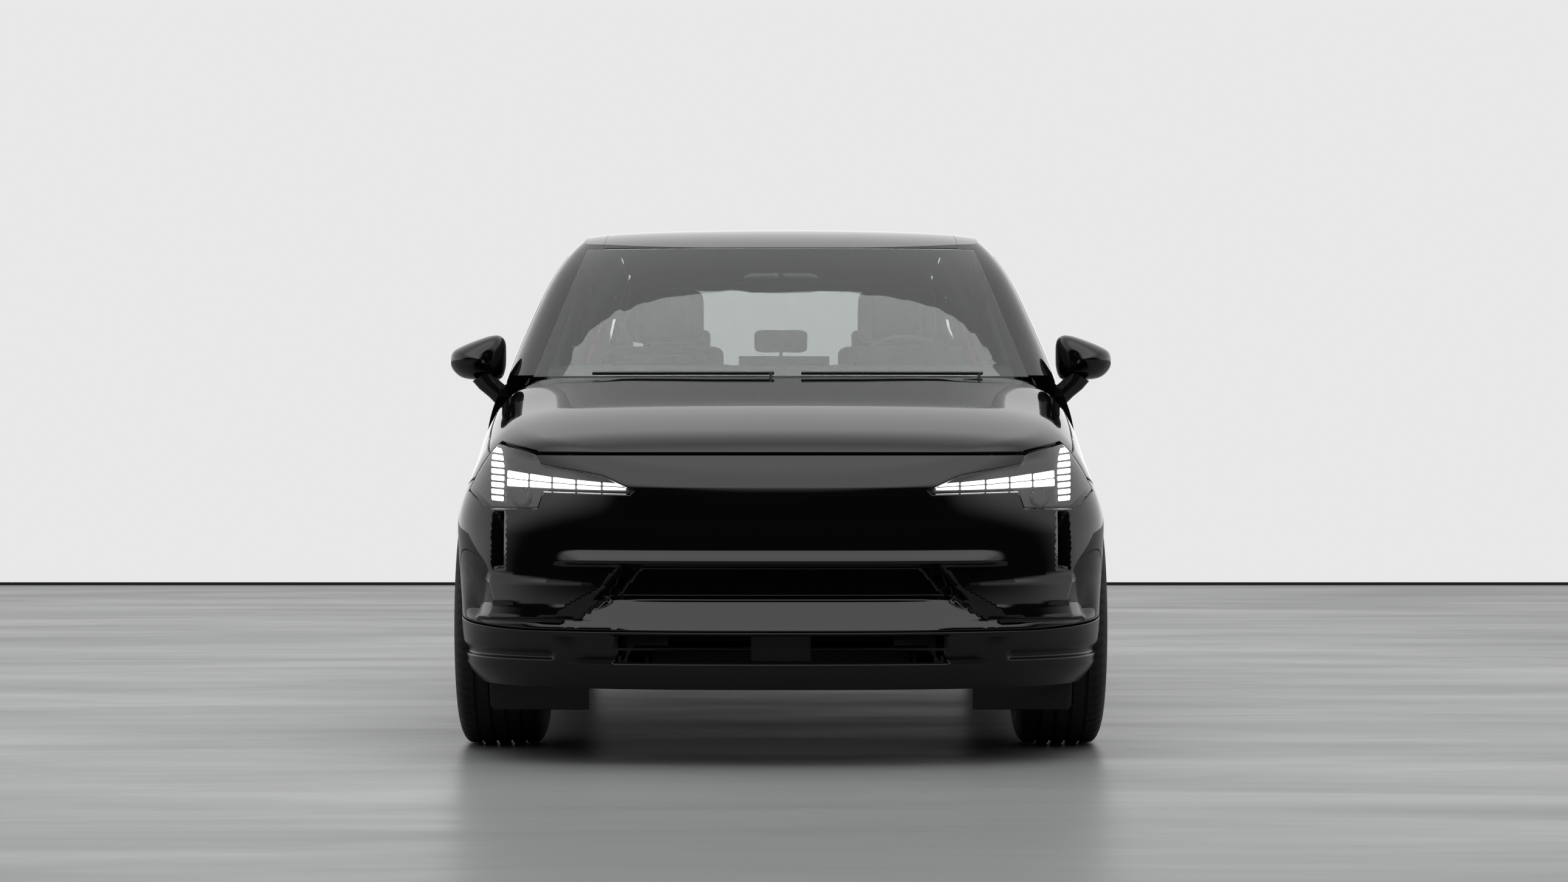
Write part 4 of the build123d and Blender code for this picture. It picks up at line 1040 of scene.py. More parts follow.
@dataclass
class NosePanel:
    """The painted nose between the bonnet and the lower ledge, with its lip, mouth and corner blocks.

    Attributes:
        fender_line: (station, height) of the split to the fender, in millimetres.
        sill_line: (station, height) of its lower edge, in millimetres.
        lip: how far the long lip stands out over the mouth.
        mouth: how deep the mouth is.
        ledge: how far the ledge under the mouth falls back.
        block: how far the corner blocks stand out.
        slot: how deep the upright air slots are.
        brow: how far the crease between the lamps stands out.
        corner: corners of the left corner block, in millimetres.
    """

    fender_line: Points = ((-1736, 764), (-1490, 717), (-1400, 700))
    sill_line: Points = ((-2200, 365), (-2000, 367), (-1690, 393), (-1400, 393))
    lip: float = 0.018
    mouth: float = 0.07
    ledge: float = 0.042
    block: float = 0.024
    slot: float = 0.03
    brow: float = 0.009
    corner: Points = ((789, 514), (464, 488), (555, 397), (832, 388))

    def lower_edge(self) -> Array:
        """The lower edge's left half round the nose."""
        uv, p = follow(FORM.nose, np.linspace(1.0, 0.0, 130), self.sill_line)
        return uv[p[:, 1] < -1.42]

    def outline(self) -> Array:
        """The whole panel's outline round the nose."""
        top = carry(FORM.nose, View.FRONT, path((0, 833), (664, 833)), View.NOSE)
        lamp = [(664, 832)] + [HEADLAMP[k] for k in (2, 1, 0, 10, 9, 8, 7, 6)]
        p = land(FORM.nose, View.FRONT, path(*lamp, step=0.005))
        p = p[p[:, 1] < LAMP_BACK - 0.001]
        split = path((LAMP_BACK * MM - 1, MM * p[-1, 2]), *self.fender_line, (-1400, 393))
        return both_halves(np.concatenate([top, flatten(View.NOSE, p),
                                           carry(FORM.nose, View.LEFT, split, View.NOSE), self.lower_edge()]))

    def relief(self, uv: Array, p: Array) -> Array:
        """How far the lip, mouth, ledge, blocks and slots stand out or in."""
        x, z = np.abs(p[:, 0]), p[:, 2]
        end = 1 - ease(x, 0.52, 0.618)
        lip = self.lip * end * (1 - ease(z, 0.55, 0.582)) * np.clip((z - 0.541) / 0.004, 0, 1)
        # the mouth's ends lean outwards as they fall towards the ledge
        lean = 0.462 + (0.488 - z) * 0.9
        mouth = self.mouth * np.clip(np.minimum.reduce([(z - 0.444) / 0.01, (0.543 - z) / 0.01,
                                                        (lean + 0.012 - x) / 0.03]), 0, 1)
        foot = np.interp(x, (0.0, 0.4, 0.6, 0.852), (0.3625, 0.365, 0.373, 0.388))
        ledge = self.ledge * np.clip(np.minimum.reduce([(z - foot) / 0.078, (lean + 0.012 - x) / 0.03,
                                                        (0.543 - z) / 0.01]), 0, 1)
        strip = 0.012 * np.clip((z - foot) / 0.02, 0, 1) * (1 - np.clip((z - 0.43) / 0.06, 0, 1))
        brow = self.brow * np.clip(np.minimum((z - 0.66) / 0.089, (0.833 - z) / 0.084), 0, 1)
        out = lip - np.maximum.reduce([mouth, ledge, strip * (1 - ease(x, 0.83, 0.87)) * ease(x, 0.36, 0.5)])
        out = out + brow * (1 - ease(x, 0.36, 0.5))
        slot = np.clip(np.minimum.reduce([(x - 0.748) / 0.004, (0.779 - x) / 0.004, (z - 0.527) / 0.006,
                                          (0.68 - z) / 0.008]), 0, 1)
        return out + self.corner_relief(x, z) - self.slot * slot

    def creases(self) -> list[Array]:
        """Lines that the mesh follows: along the lip, the mouth, its slanting ends and the corner blocks."""
        lines = [path((-600, z), (600, z)) for z in (541, 545, 552, 577, 582)]
        lines += [path((-440, z), (440, z)) for z in (660, 745, 749, 444, 454, 533, 543)]
        lines += [path(*((462 + (488 - z) * 0.9 + offset, z) for z in (372, 541))) for offset in (-18, 12)]
        lines += [path(self.corner[k - 1], self.corner[k]) for k in (1, 2, 3, 0)]
        lines += [path((x, 530), (x, 675)) for x in (748, 753, 775, 780)]
        made = []
        for line in lines:
            flat = carry(FORM.nose, View.FRONT, line, View.NOSE)
            made.append(flat)
            if line[:, 0].min() > 0:
                made.append(flat * (-1, 1))
        return made

    def corner_relief(self, x: Array, z: Array) -> Array:
        """How far the corner blocks stand out."""
        depth = np.full(len(x), 9.0)
        q = np.array(self.corner) / MM
        slopes = (0.07, 0.034, 0.004, 0.045)  # width of the slope along each side, in metres
        for k, slope in enumerate(slopes):
            a, b = q[k], q[(k + 1) % 4]
            d = (b - a) / np.linalg.norm(b - a)
            depth = np.minimum(depth, ((x - a[0]) * d[1] - (z - a[1]) * d[0]) / -slope)
        return self.block * np.clip(depth, 0, 1)

    def build(self) -> None:
        """Builds the panel over its inner frame."""
        kit = MeshKit()
        Skin(FORM.nose, View.NOSE, [self.outline()], arches(View.NOSE), step=0.0075, relief=self.relief,
             edge_step=0.005, creases=self.creases()).add_to(kit)
        inner_faces(kit, "front_bumper", FORM.nose, near=0.03)
        kit.make("nose_panel", "body", [PAINT], ["front_bumper"])


@dataclass
class LowerNose:
    """The grained lower nose with its intake and wheel deflectors.

    Attributes:
        top_line: (station, height) of its upper edge, in millimetres.
        bottom: height of its lower edge.
        intake: the intake's corners, in millimetres.
    """

    top_line: Points = ((-2200, 361), (-2000, 363), (-1690, 387), (-1600, 387))
    bottom: float = 0.206
    intake: Points = ((-456, 281), (456, 281), (456, 352), (-456, 352))

    def outline(self) -> Array:
        """The whole panel's outline round the nose."""
        uv, p = follow(FORM.sides, np.linspace(0.0, 1.1, 130), self.top_line)
        upper = uv[p[:, 1] < -1.66]
        rear = carry(FORM.sides, View.LEFT, path((-1651, 386), (-1700, self.bottom * MM)), View.NOSE)
        lower = np.stack([np.linspace(rear[-1, 0], 0, 120)[1:], np.full(119, self.bottom)], 1)
        return both_halves(np.concatenate([upper, rear, lower]))

    def relief(self, uv: Array, p: Array) -> Array:
        """The slanted recess beside the intake and the step over the lower lip."""
        x, z = np.abs(p[:, 0]), p[:, 2]
        slant = ease(z, 0.279, 0.284) * (1 - ease(z, 0.349, 0.354))
        far = 0.594 + (z - 0.284) * 0.4
        pocket = -0.026 * slant * (1 - ease(x, far - 0.06, far))
        lip = 0.006 * (1 - ease(z, 0.262, 0.268))
        corner = -0.012 * ease(z, 0.284, 0.29) * (1 - ease(z, 0.3, 0.318)) * ease(x, 0.6, 0.63)
        return pocket + lip + corner

    def build(self) -> None:
        """Builds the panel over its inner frame."""
        kit = MeshKit()
        intake = carry(FORM.sides, View.FRONT, resample(rounded(self.intake, 12), 0.006), View.NOSE)
        Skin(FORM.sides, View.NOSE, [self.outline()], [*arches(View.NOSE), intake], step=0.0085,
             relief=self.relief, flange=0.03, edge_step=0.007).add_to(kit)
        inner_faces(kit, "front_lower_bumper", FORM.sides, near=0.028)
        Deflector().add_to(kit, 0)
        kit.make("lower_nose", "body", [CLADDING], ["front_lower_bumper"])


@dataclass
class Fender:
    """The front fender over the wheel.

    Attributes:
        outline_mm: (station, height) of its fixed edges, in millimetres.
        gap: distance kept from the bonnet.
    """

    outline_mm: Points = ((-733, 307), (-959, 307), (-1317, 501), (-1490, 723), (LAMP_BACK * MM + 2, 770))
    gap: float = 0.003

    def build(self, bonnet: Bonnet) -> None:
        """Builds both fenders.

        Args:
            bonnet: the bonnet that they meet.
        """
        y = np.linspace(LAMP_BACK + 0.002, -0.75, 110)
        top = np.stack([y, bonnet.edge(y) - self.gap], 1)
        loop = np.concatenate([path((-733, 981), *self.outline_mm), top])
        kit = MeshKit()
        Skin(FORM.nose, View.LEFT, [loop], [circle(FORM.front_axle, WHEEL_R, ARCH_R)], step=0.014,
             edge_step=0.007).add_to(kit)
        inner_faces(kit, "fender_left", FORM.nose)
        kit.make("fender_skin_left", "body", [PAINT], ["fender_left"])
        kit.mirror().make("fender_skin_right", "body", [PAINT], ["fender_right"])


@dataclass
class LampTile:
    """One lit tile of the daytime lamp.

    Attributes:
        corners: its corners from the front, in millimetres.
        depth: thickness of the slab.
    """

    corners: Points
    depth: float = 0.004

    def add_to(self, kit: MeshKit, slot: int, drop: float) -> None:
        """Adds the tile as a slab that follows the lens.

        Args:
            kit: where its faces go.
            slot: material slot number.
            drop: how far under the lens its face lies.
        """
        loop = resample(rounded(self.corners, 2.5), 0.004)
        Skin(FORM.nose, View.FRONT, [loop], step=0.006, drop=drop, roll=0.001, flange=self.depth,
             edge_step=0.004).add_to(kit, slot)


@dataclass
class Headlamp:
    """A headlamp: clear lens, black housing, lit T of small tiles and a low projector.

    Attributes:
        bar: (height, inner x, outer x) of the upright bar's levels in millimetres, from its foot.
        arm: (x, lower height, upper height) stations of the level bar in millimetres, from its root.
        projector: middle of the projector lens from the front, in millimetres.
    """

    bar: tuple[Place, ...] = (
        (703, 751, 783), (721, 751, 785), (739, 751, 786), (757, 751, 787), (775, 751, 788), (793, 752, 789),
        (811, 754, 790), (829, 757, 789), (847, 765, 787))
    arm: tuple[Place, ...] = (
        (744, 746, 789), (680, 744, 781), (616, 742, 773), (550, 740, 766), (480, 738.5, 760),
        (412, 738, 755))
    projector: tuple[float, float] = (697, 716)

    def tiles(self) -> list[LampTile]:
        """The lit tiles of both bars."""
        made = []
        for (z0, a0, b0), (z1, a1, b1) in zip(self.bar, self.bar[1:]):
            made.append(LampTile(((a0, z0 + 3.0), (b0, z0 + 5.0), (b1, z1 - 1.0), (a1, z1 - 3.0))))
        for (x0, l0, u0), (x1, l1, u1) in zip(self.arm, self.arm[1:]):
            m0, m1 = (l0 + u0) / 2, (l1 + u1) / 2
            rows = ((l0 + 1, m0 - 1.8, l1 + 1, m1 - 1.8), (m0 + 1.8, u0 - 1, m1 + 1.8, u1 - 1))
            for a0, b0, a1, b1 in rows:
                made.append(LampTile(((x0 - 3, a0), (x0 - 3, b0), (x1 + 3, b1), (x1 + 3, a1))))
        return made

    def build(self) -> None:
        """Builds the left lamp and its mirror image."""
        kit = MeshKit()
        Skin(FORM.nose, View.NOSE, [lamp_outline(-2.5, View.NOSE)], step=0.01, drop=0.001, roll=0.002,
             flange=0.012, edge_step=0.006).add_to(kit, 0)
        Skin(FORM.nose, View.NOSE, [lamp_outline(-3.5, View.NOSE)], step=0.012, drop=0.03, roll=0.0,
             edge_step=0.008).add_to(kit, 1)
        for tile in self.tiles():
            tile.add_to(kit, 2, 0.012)
        u, v = (c / MM for c in self.projector)
        for radius, drop, slot in ((0.026, 0.022, 1), (0.02, 0.018, 3)):
            Skin(FORM.nose, View.FRONT, [circle(u, v, radius, 40)], step=0.006, drop=drop, roll=0.004,
                 flange=0.008, edge_step=0.004).add_to(kit, slot)
        finishes = [LENS, HOUSING, LED, SCREEN_GLASS]
        kit.make("headlamp_unit_left", "body", finishes, ["headlamp_left"])
        kit.mirror().make("headlamp_unit_right", "body", finishes, ["headlamp_right"])


def lattice(rows: int, columns: int, round_rows: bool = False,
            round_columns: bool = False) -> list[tuple[int, ...]]:
    """Quads of a grid of points stored row by row.

    Args:
        rows: number of rows.
        columns: number of points in a row.
        round_rows: joins the last row to the first.
        round_columns: joins the last column to the first.

    Returns:
        The quads' vertex numbers.
    """
    made = []
    for i in range(rows if round_rows else rows - 1):
        for k in range(columns if round_columns else columns - 1):
            j, m = (i + 1) % rows, (k + 1) % columns
            made.append((i * columns + k, i * columns + m, j * columns + m, j * columns + k))
    return made


def tube(kit: MeshKit, line: Array, radii: Array, slot: int = 0, count: int = 14, flat: float = 1.0) -> None:
    """Adds a rod along a line.

    Args:
        kit: where its faces go.
        line: points along its middle.
        radii: radius at each point.
        slot: material slot number.
        count: sides of its section.
        flat: height of its section over its width.
    """
    along = np.gradient(line, axis=0)
    along /= np.linalg.norm(along, axis=1)[:, None]
    up = np.where(np.abs(along[:, 2:3]) > 0.9, (0.0, 1.0, 0.0), (0.0, 0.0, 1.0))
    side = np.cross(along, up)
    side /= np.linalg.norm(side, axis=1)[:, None]
    rise = np.cross(side, along)
    turn = np.arange(count) * 2 * math.pi / count
    ring = (side[:, None] * np.cos(turn)[None, :, None] + rise[:, None] * np.sin(turn)[None, :, None] * flat)
    points = line[:, None] + ring * radii[:, None, None]
    faces = lattice(len(line), count, round_columns=True)
    last = (len(line) - 1) * count
    faces += [tuple(range(count - 1, -1, -1)), tuple(range(last, last + count))]
    kit.add(points.reshape(-1, 3), [f[::-1] for f in faces], None, slot)


@dataclass
class Mirror:
    """A door mirror: a tapered shell with recessed glass, a repeater at its tip and a flat stalk.

    Attributes:
        outline: the shell's outline from the front, in millimetres.
        middle: the point that the shell closes to.
        back: station of its open rear edge.
        depth: how far it reaches forward.
    """

    outline: Points = ((842, 1122), (843, 1168), (862, 1186), (890, 1184), (930, 1171), (976, 1153),
                       (1012, 1133), (1014, 1092), (996, 1066), (972, 1051), (930, 1047), (865, 1045),
                       (850, 1060), (843, 1088))
    middle: tuple[float, float] = (0.912, 1.11)
    back: float = -0.602
    depth: float = 0.105

    def ring(self, edge: Array, t: float, lift: float = 0.0) -> Array:
        """A line on the shell.

        Args:
            edge: points of the outline, (x, z) in metres.
            t: how far forward it lies, from 0 at the rear edge to 1 at the tip.
            lift: how far it stands out, as a share of its size.

        Returns:
            The line's 3-D points.
        """
        centre = np.array(self.middle)
        at = centre + (edge - centre) * ((1 - t**2.1) ** 0.5 + lift)
        y = self.back - self.depth * t - 0.012 * (edge[:, 0] - centre[0]) / 0.09 * t
        return np.stack([at[:, 0], y, at[:, 1]], 1)

    def build(self) -> None:
        """Builds both mirrors."""
        edge = np.array(self.outline) / MM
        for _ in range(3):
            after = np.roll(edge, -1, axis=0)
            edge = np.stack([0.75 * edge + 0.25 * after, 0.25 * edge + 0.75 * after], 1).reshape(-1, 2)
        centre, count = np.array(self.middle), len(edge)
        kit = MeshKit()
        rings = [self.ring(edge, t)
                 for t in (0.0, 0.05, 0.12, 0.22, 0.34, 0.47, 0.6, 0.72, 0.82, 0.9, 0.96, 0.99, 0.999)]
        lip = [(1.0, 0.0), (0.985, 0.002), (0.965, 0.0), (0.955, -0.008)]
        inner = [np.stack([(centre[0] + (edge[:, 0] - centre[0]) * g), np.full(count, self.back + d),
                           centre[1] + (edge[:, 1] - centre[1]) * g], 1) for g, d in lip]
        points = np.concatenate(rings[::-1] + inner[1:])
        rows = len(rings) + len(inner) - 1
        faces = lattice(rows, count, round_columns=True)
        faces.append(tuple(range(count))[::-1])
        kit.add(points, faces, None, 0)
        kit.add(inner[-1] + (0, 0.0005, 0), [tuple(range(count))], None, 1)
        # repeater strip wrapped round the outer tip
        strip = edge[(edge[:, 0] > 0.965) & (edge[:, 1] < 1.112)]
        strip = strip[np.argsort(strip[:, 1])]
        grid = [self.ring(strip, t, 0.006) for t in (0.1, 0.2, 0.3, 0.36)]
        kit.add(np.concatenate(grid), [f[::-1] for f in lattice(len(grid), len(strip))], None, 2)
        line = np.array([(0.826, -0.640, 0.970), (0.845, -0.644, 0.991), (0.872, -0.650, 1.017),
                         (0.898, -0.655, 1.040), (0.912, -0.657, 1.062)])
        tube(kit, line, np.array([0.026, 0.023, 0.022, 0.023, 0.026]), 3, 20, 1.35)
        finishes = [PAINT, MIRROR_GLASS, AMBER, TRIM]
        kit.make("mirror_shell_left", "front_door_left", finishes, ["mirror_left"])
        kit.mirror().make("mirror_shell_right", "front_door_right", finishes, ["mirror_right"])


@dataclass
class Deflector:
    """The moulded flap under the nose in front of each front tyre.

    Attributes:
        outline: its outline from the front, in millimetres.
        station: station of its front face.
        thick: thickness.
    """

    outline: Points = ((527, 224), (527, 140), (537, 132), (786, 132), (797, 142), (800, 224))
    station: float = -1.789
    thick: float = 0.014

    def add_to(self, kit: MeshKit, slot: int) -> None:
        """Adds both flaps.

        Args:
            kit: where their faces go.
            slot: material slot number.
        """
        edge = resample(rounded(self.outline, 9), 0.012)
        rows = [(0.0, 0.003), (0.003, 0.0), (self.thick - 0.003, 0.0), (self.thick, 0.003)]
        centre = edge.mean(0)
        for sign in (1, -1):
            rings = []
            for back, draw in rows:
                at = edge + (centre - edge) * (draw / 0.08)
                rings.append(np.stack([sign * at[:, 0], np.full(len(at), self.station + back), at[:, 1]], 1))
            count = len(edge)
            faces = lattice(4, count, round_columns=True)
            faces += [tuple(range(count))[::-1], tuple(range(3 * count, 4 * count))]
            if sign > 0:
                faces = [f[::-1] for f in faces]
            kit.add(np.concatenate(rings), faces, None, slot)


@dataclass
class TailLamps:
    """The rear lamps: red outer lenses over red guides in black housings.

    Attributes:
        low: outline of the left corner lamp from behind, in millimetres.
        high: outline of the left upper lamp from behind, in millimetres.
    """

    low: Points = TAIL_LAMP
    high: Points = UPPER_TAIL_LAMP

    def build(self) -> None:
        """Builds all four lamps."""
        kit = MeshKit()
        for outline, form in ((self.low, FORM.sides), (self.high, FORM.house)):
            lens = carry(form, View.REAR, resample(rounded(outline, 8, -2.5), 0.006), View.TAIL)
            deep = carry(form, View.REAR, resample(rounded(outline, 8, -3.5), 0.006), View.TAIL)
            Skin(form, View.TAIL, [lens], step=0.012, drop=0.0005, roll=0.002, flange=0.012).add_to(kit, 0)
            Skin(form, View.TAIL, [deep], step=0.014, drop=0.022, roll=0.0).add_to(kit, 1)
            inset = carry(form, View.REAR, resample(rounded(outline, 6, -14), 0.006), View.TAIL)
            Skin(form, View.TAIL, [inset], step=0.012, drop=0.008, roll=0.002, flange=0.006).add_to(kit, 2)
        kit.join(kit.mirror())
        kit.make("tail_lamp_units", "body", [RED_LENS, HOUSING, RED_GUIDE], ["tail_lamps"])


@dataclass
class Seal:
    """A hollow rubber seal that runs round an opening behind the shut gap.

    Attributes:
        name: object name.
        outline: the opening in its view, in millimetres.
        view: the side looked from.
        form: surface that it follows.
        drop: how far under the surface its middle lies.
        radius: its radius.
        reach: the furthest that it lies down the gap.
    """

    name: str
    outline: Points
    view: View
    form: Form
    drop: float = 0.03
    radius: float = 0.008
    reach: float = 0.12

    def build(self) -> None:
        """Builds the seal."""
        loop = resample(rounded(self.outline, 30), 0.02)
        way = rays(self.view, loop)[1]
        p = land(self.form, self.view, loop)
        steep = np.abs(np.sum((p - land(self.form, self.view, loop, 0.01)) / 0.01 * way, axis=1))
        p = p + way * np.minimum(self.drop / np.maximum(steep, 0.1), self.reach)[:, None]
        p = (np.roll(p, 1, 0) + 2 * p + np.roll(p, -1, 0)) / 4
        along = np.roll(p, -1, 0) - np.roll(p, 1, 0)
        along /= np.linalg.norm(along, axis=1)[:, None]
        side = np.cross(along, -way)
        side /= np.linalg.norm(side, axis=1)[:, None]
        rise = np.cross(side, along)
        turn = np.arange(10) * 2 * math.pi / 10
        ring = side[:, None] * np.cos(turn)[None, :, None] + rise[:, None] * np.sin(turn)[None, :, None]
        kit = MeshKit()
        kit.add((p[:, None] + ring * self.radius).reshape(-1, 3), lattice(len(p), 10, True, True))
        kit.make(self.name, "body", [RUBBER])


# ---------------------------------------------------------------- cabin
@dataclass
class InteriorMirror:
    """The rear-view mirror on a short stem behind the windscreen.

    Attributes:
        middle: middle of the mirror.
        foot: where its stem meets the glass.
        profile: (place across, half depth) pairs from its middle to its end.
        tall: height of its section over its depth.
    """

    middle: Place = (0.0, -0.392, 1.35)
    foot: Place = (0.0, -0.402, 1.388)
    profile: Points = ((0.0, 0.015), (0.04, 0.015), (0.09, 0.0145), (0.108, 0.0125), (0.116, 0.009),
                       (0.118, 0.0055))
    tall: float = 2.1

    def build(self) -> None:
        """Builds the housing with its glass, and the stem."""
        kit = MeshKit()
        x, y, z = self.middle
        across, width = np.array([(-a, w) for a, w in self.profile[:0:-1]] + list(self.profile)).T
        line = np.stack([x + across, y - 0.02 * (across / across[-1]) ** 2, np.full(len(across), z)], 1)
        tube(kit, line, width, 0, 20, self.tall)
        glass = line[1:-1] + (0, 0.0005, 0)
        back = width[1:-1]
        rows = [glass + np.stack([back * 0, back * math.cos(a), back * self.tall * math.sin(a)], 1)
                for a in np.linspace(-1.1, 1.1, 7)]
        kit.add(np.concatenate(rows), lattice(len(rows), len(glass)), None, 1)
        tube(kit, np.array([(x, y - 0.012, z + 0.02), (x, y - 0.014, z + 0.03), self.foot]),
             np.array([0.008, 0.007, 0.009]), 0, 12)
        kit.make("interior_mirror", "body", [TRIM, MIRROR_GLASS])


@dataclass
class Pad:
    """A stuffed pad: crowned, drawn in between its corners, with a welt round it and sewn channels.

    Attributes:
        name: object name.
        middle: its middle.
        size: full width, depth and thickness before it is leaned.
        lean: turn about the x axis in degrees; 0 lies flat, 90 stands up and faces forward.
        crown: how far its faces swell.
        waist: how far its sides pull in between the corners.
        square: squareness of its corners.
        channels: places of the sewn channels across it, from -1 to 1.
        seams: places of the lengthwise seams, from -1 to 1.
        finish: its cover.
        fill: how tight it is stuffed; not used.
        quads: faces along each edge of its cube.
    """

    name: str
    middle: Place
    size: Place
    lean: float = 0.0
    crown: float = 0.012
    waist: float = 0.006
    square: float = 6.0
    channels: tuple[float, ...] = ()
    seams: tuple[float, ...] = ()
    finish: Finish = UPHOLSTERY
    fill: float = 0.8
    quads: int = 34

    def build(self) -> None:
        """Builds the pad from a cube of quads that is rounded, swollen and leaned."""
        count = self.quads
        t = np.tan(np.linspace(-math.pi / 4, math.pi / 4, count + 1))
        a, b = [g.ravel() for g in np.meshgrid(t, t, indexing="ij")]
        one = np.ones_like(a)
        points, faces = [], []
        for k, (p, flip) in enumerate(((np.stack([a, b, one], 1), False), (np.stack([a, b, -one], 1), True),
                                       (np.stack([a, one, b], 1), True), (np.stack([a, -one, b], 1), False),
                                       (np.stack([one, a, b], 1), False), (np.stack([-one, a, b], 1), True))):
            quads = lattice(count + 1, count + 1)
            faces += [tuple(i + k * len(a) for i in (q if flip else q[::-1])) for q in quads]
            points.append(p)
        c = np.concatenate(points)
        k = self.square
        p = c / (np.sum(np.abs(c) ** k, axis=1) ** (1 / k))[:, None]
        w, d, h = (side / 2 for side in self.size)
        x, y, z = p.T
        swell = self.crown * (1 - x**2) * (1 - y**2)
        top = ease(z, 0.3, 0.9)
        for place in self.channels:
            swell = swell - top * 0.006 * np.exp(-(((y - place) * d / 0.005) ** 2))
            swell = swell + top * 0.003 * np.exp(-(((np.abs(y - place) * d - 0.02) / 0.012) ** 2))
        for place in self.seams:
            swell = swell - top * 0.005 * np.exp(-(((x - place) * w / 0.004) ** 2))
        # the welt: a fine raised cord between two grooves where the faces meet the sides
        rim = np.abs(z) * h - (h - 0.016)
        side = np.maximum(np.abs(x) ** 8, np.abs(y) ** 8)
        groove = np.exp(-(((np.abs(rim) - 0.007) / 0.003) ** 2))
        welt = side * (0.0022 * np.exp(-((rim / 0.0026) ** 2)) - 0.002 * groove)
        x2 = x * (w - self.waist * (1 - y**2) * (np.abs(x) > 0.5) * np.abs(x) ** 6 + welt)
        y2 = y * (d - self.waist * (1 - x**2) * (np.abs(y) > 0.5) * np.abs(y) ** 6 + welt)
        z2 = z * h + np.sign(z) * np.abs(z) * swell
        turn = math.radians(self.lean)
        spot = np.stack([x2, y2 * math.cos(turn) - z2 * math.sin(turn),
                         y2 * math.sin(turn) + z2 * math.cos(turn)], 1)
        merged, index = np.unique(np.round(spot, 6), axis=0, return_inverse=True)
        index = index.ravel()
        quads = [tuple(int(index[i]) for i in f) for f in faces]
        kit = MeshKit()
        kit.add(merged + np.array(self.middle), [q for q in quads if len(set(q)) == 4])
        made = kit.make(self.name, "body", [self.finish], sharp=180)


@dataclass
class Seats:
    """Front seats and rear bench, each as cushions, bolsters and headrests on a frame."""

    def bar(self, kit: MeshKit, start: Place, end: Place, radius: float, count: int) -> None:
        """Adds a straight bar between two points, with a number of sides."""
        tube(kit, np.array([start, end]), np.full(2, radius), 0, count)

    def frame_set(self) -> MeshKit:
        """Seat bases, slides and headrest posts."""
        kit = MeshKit()
        for x in (-0.385, 0.385):
            for k in (-0.19, 0.19):
                self.bar(kit, (x + k, -0.33, 0.325), (x + k, 0.14, 0.325), 0.02, 4)
                self.bar(kit, (x + k, -0.28, 0.33), (x + k * 0.97, -0.26, 0.5), 0.022, 10)
                self.bar(kit, (x + k, 0.1, 0.33), (x + k * 0.97, 0.1, 0.5), 0.022, 10)
            for k in (-0.05, 0.05):
                self.bar(kit, (x + k, 0.305, 1.06), (x + k, 0.315, 1.18), 0.006, 12)
        for x in (-0.37, 0.0, 0.37):
            self.bar(kit, (x, 1.15, 1.08), (x, 1.152, 1.17), 0.006, 12)
        return kit

    def build(self) -> None:
        """Builds every pad and the frames."""
        self.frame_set().make("seat_frames", "body", [CHASSIS], ["front_seats", "rear_bench"])
        for side, x in (("left", 0.385), ("right", -0.385)):
            Pad(f"seat_cushion_{side}", (x, -0.12, 0.568), (0.36, 0.5, 0.13), 0, crown=0.012,
                channels=(-0.5, 0.0, 0.45)).build()
            Pad(f"seat_back_{side}", (x, 0.225, 0.84), (0.34, 0.6, 0.12), 79, crown=0.014,
                channels=(-0.6, -0.2, 0.2, 0.6)).build()
            Pad(f"seat_shoulder_{side}", (x, 0.3, 1.085), (0.4, 0.16, 0.085), 79, crown=0.008,
                finish=BOLSTER_CLOTH).build()
            for name, k in (("outer", 1), ("inner", -1)):
                Pad(f"seat_bolster_{name}_{side}", (x + k * 0.2, -0.12, 0.575), (0.09, 0.5, 0.15), 0,
                    crown=0.008, square=4, finish=BOLSTER_CLOTH).build()
                Pad(f"seat_wing_{name}_{side}", (x + k * 0.195, 0.205, 0.83), (0.09, 0.56, 0.16), 79,
                    crown=0.008, square=4, finish=BOLSTER_CLOTH).build()
            Pad(f"seat_headrest_{side}", (x, 0.305, 1.265), (0.27, 0.19, 0.085), 82, crown=0.014, square=4,
                seams=(-0.62, 0.62), finish=BOLSTER_CLOTH).build()
        for k, (x, w) in enumerate(((-0.395, 0.4), (0.0, 0.36), (0.395, 0.4))):
            Pad(f"bench_cushion_{k + 1}", (x, 0.73, 0.47), (w, 0.46, 0.18), 3, crown=0.014,
                channels=(-0.35, 0.3)).build()
            Pad(f"bench_back_{k + 1}", (x, 1.045, 0.82), (w, 0.64, 0.09), 72, crown=0.012,
                channels=(-0.5, 0.0, 0.5)).build()
            head = 0.25 if x else 0.2
            Pad(f"bench_headrest_{k + 1}", (x * 0.937, 1.15, 1.197), (head, 0.085, 0.075), 86, crown=0.006,
                square=4, finish=BOLSTER_CLOTH).build()


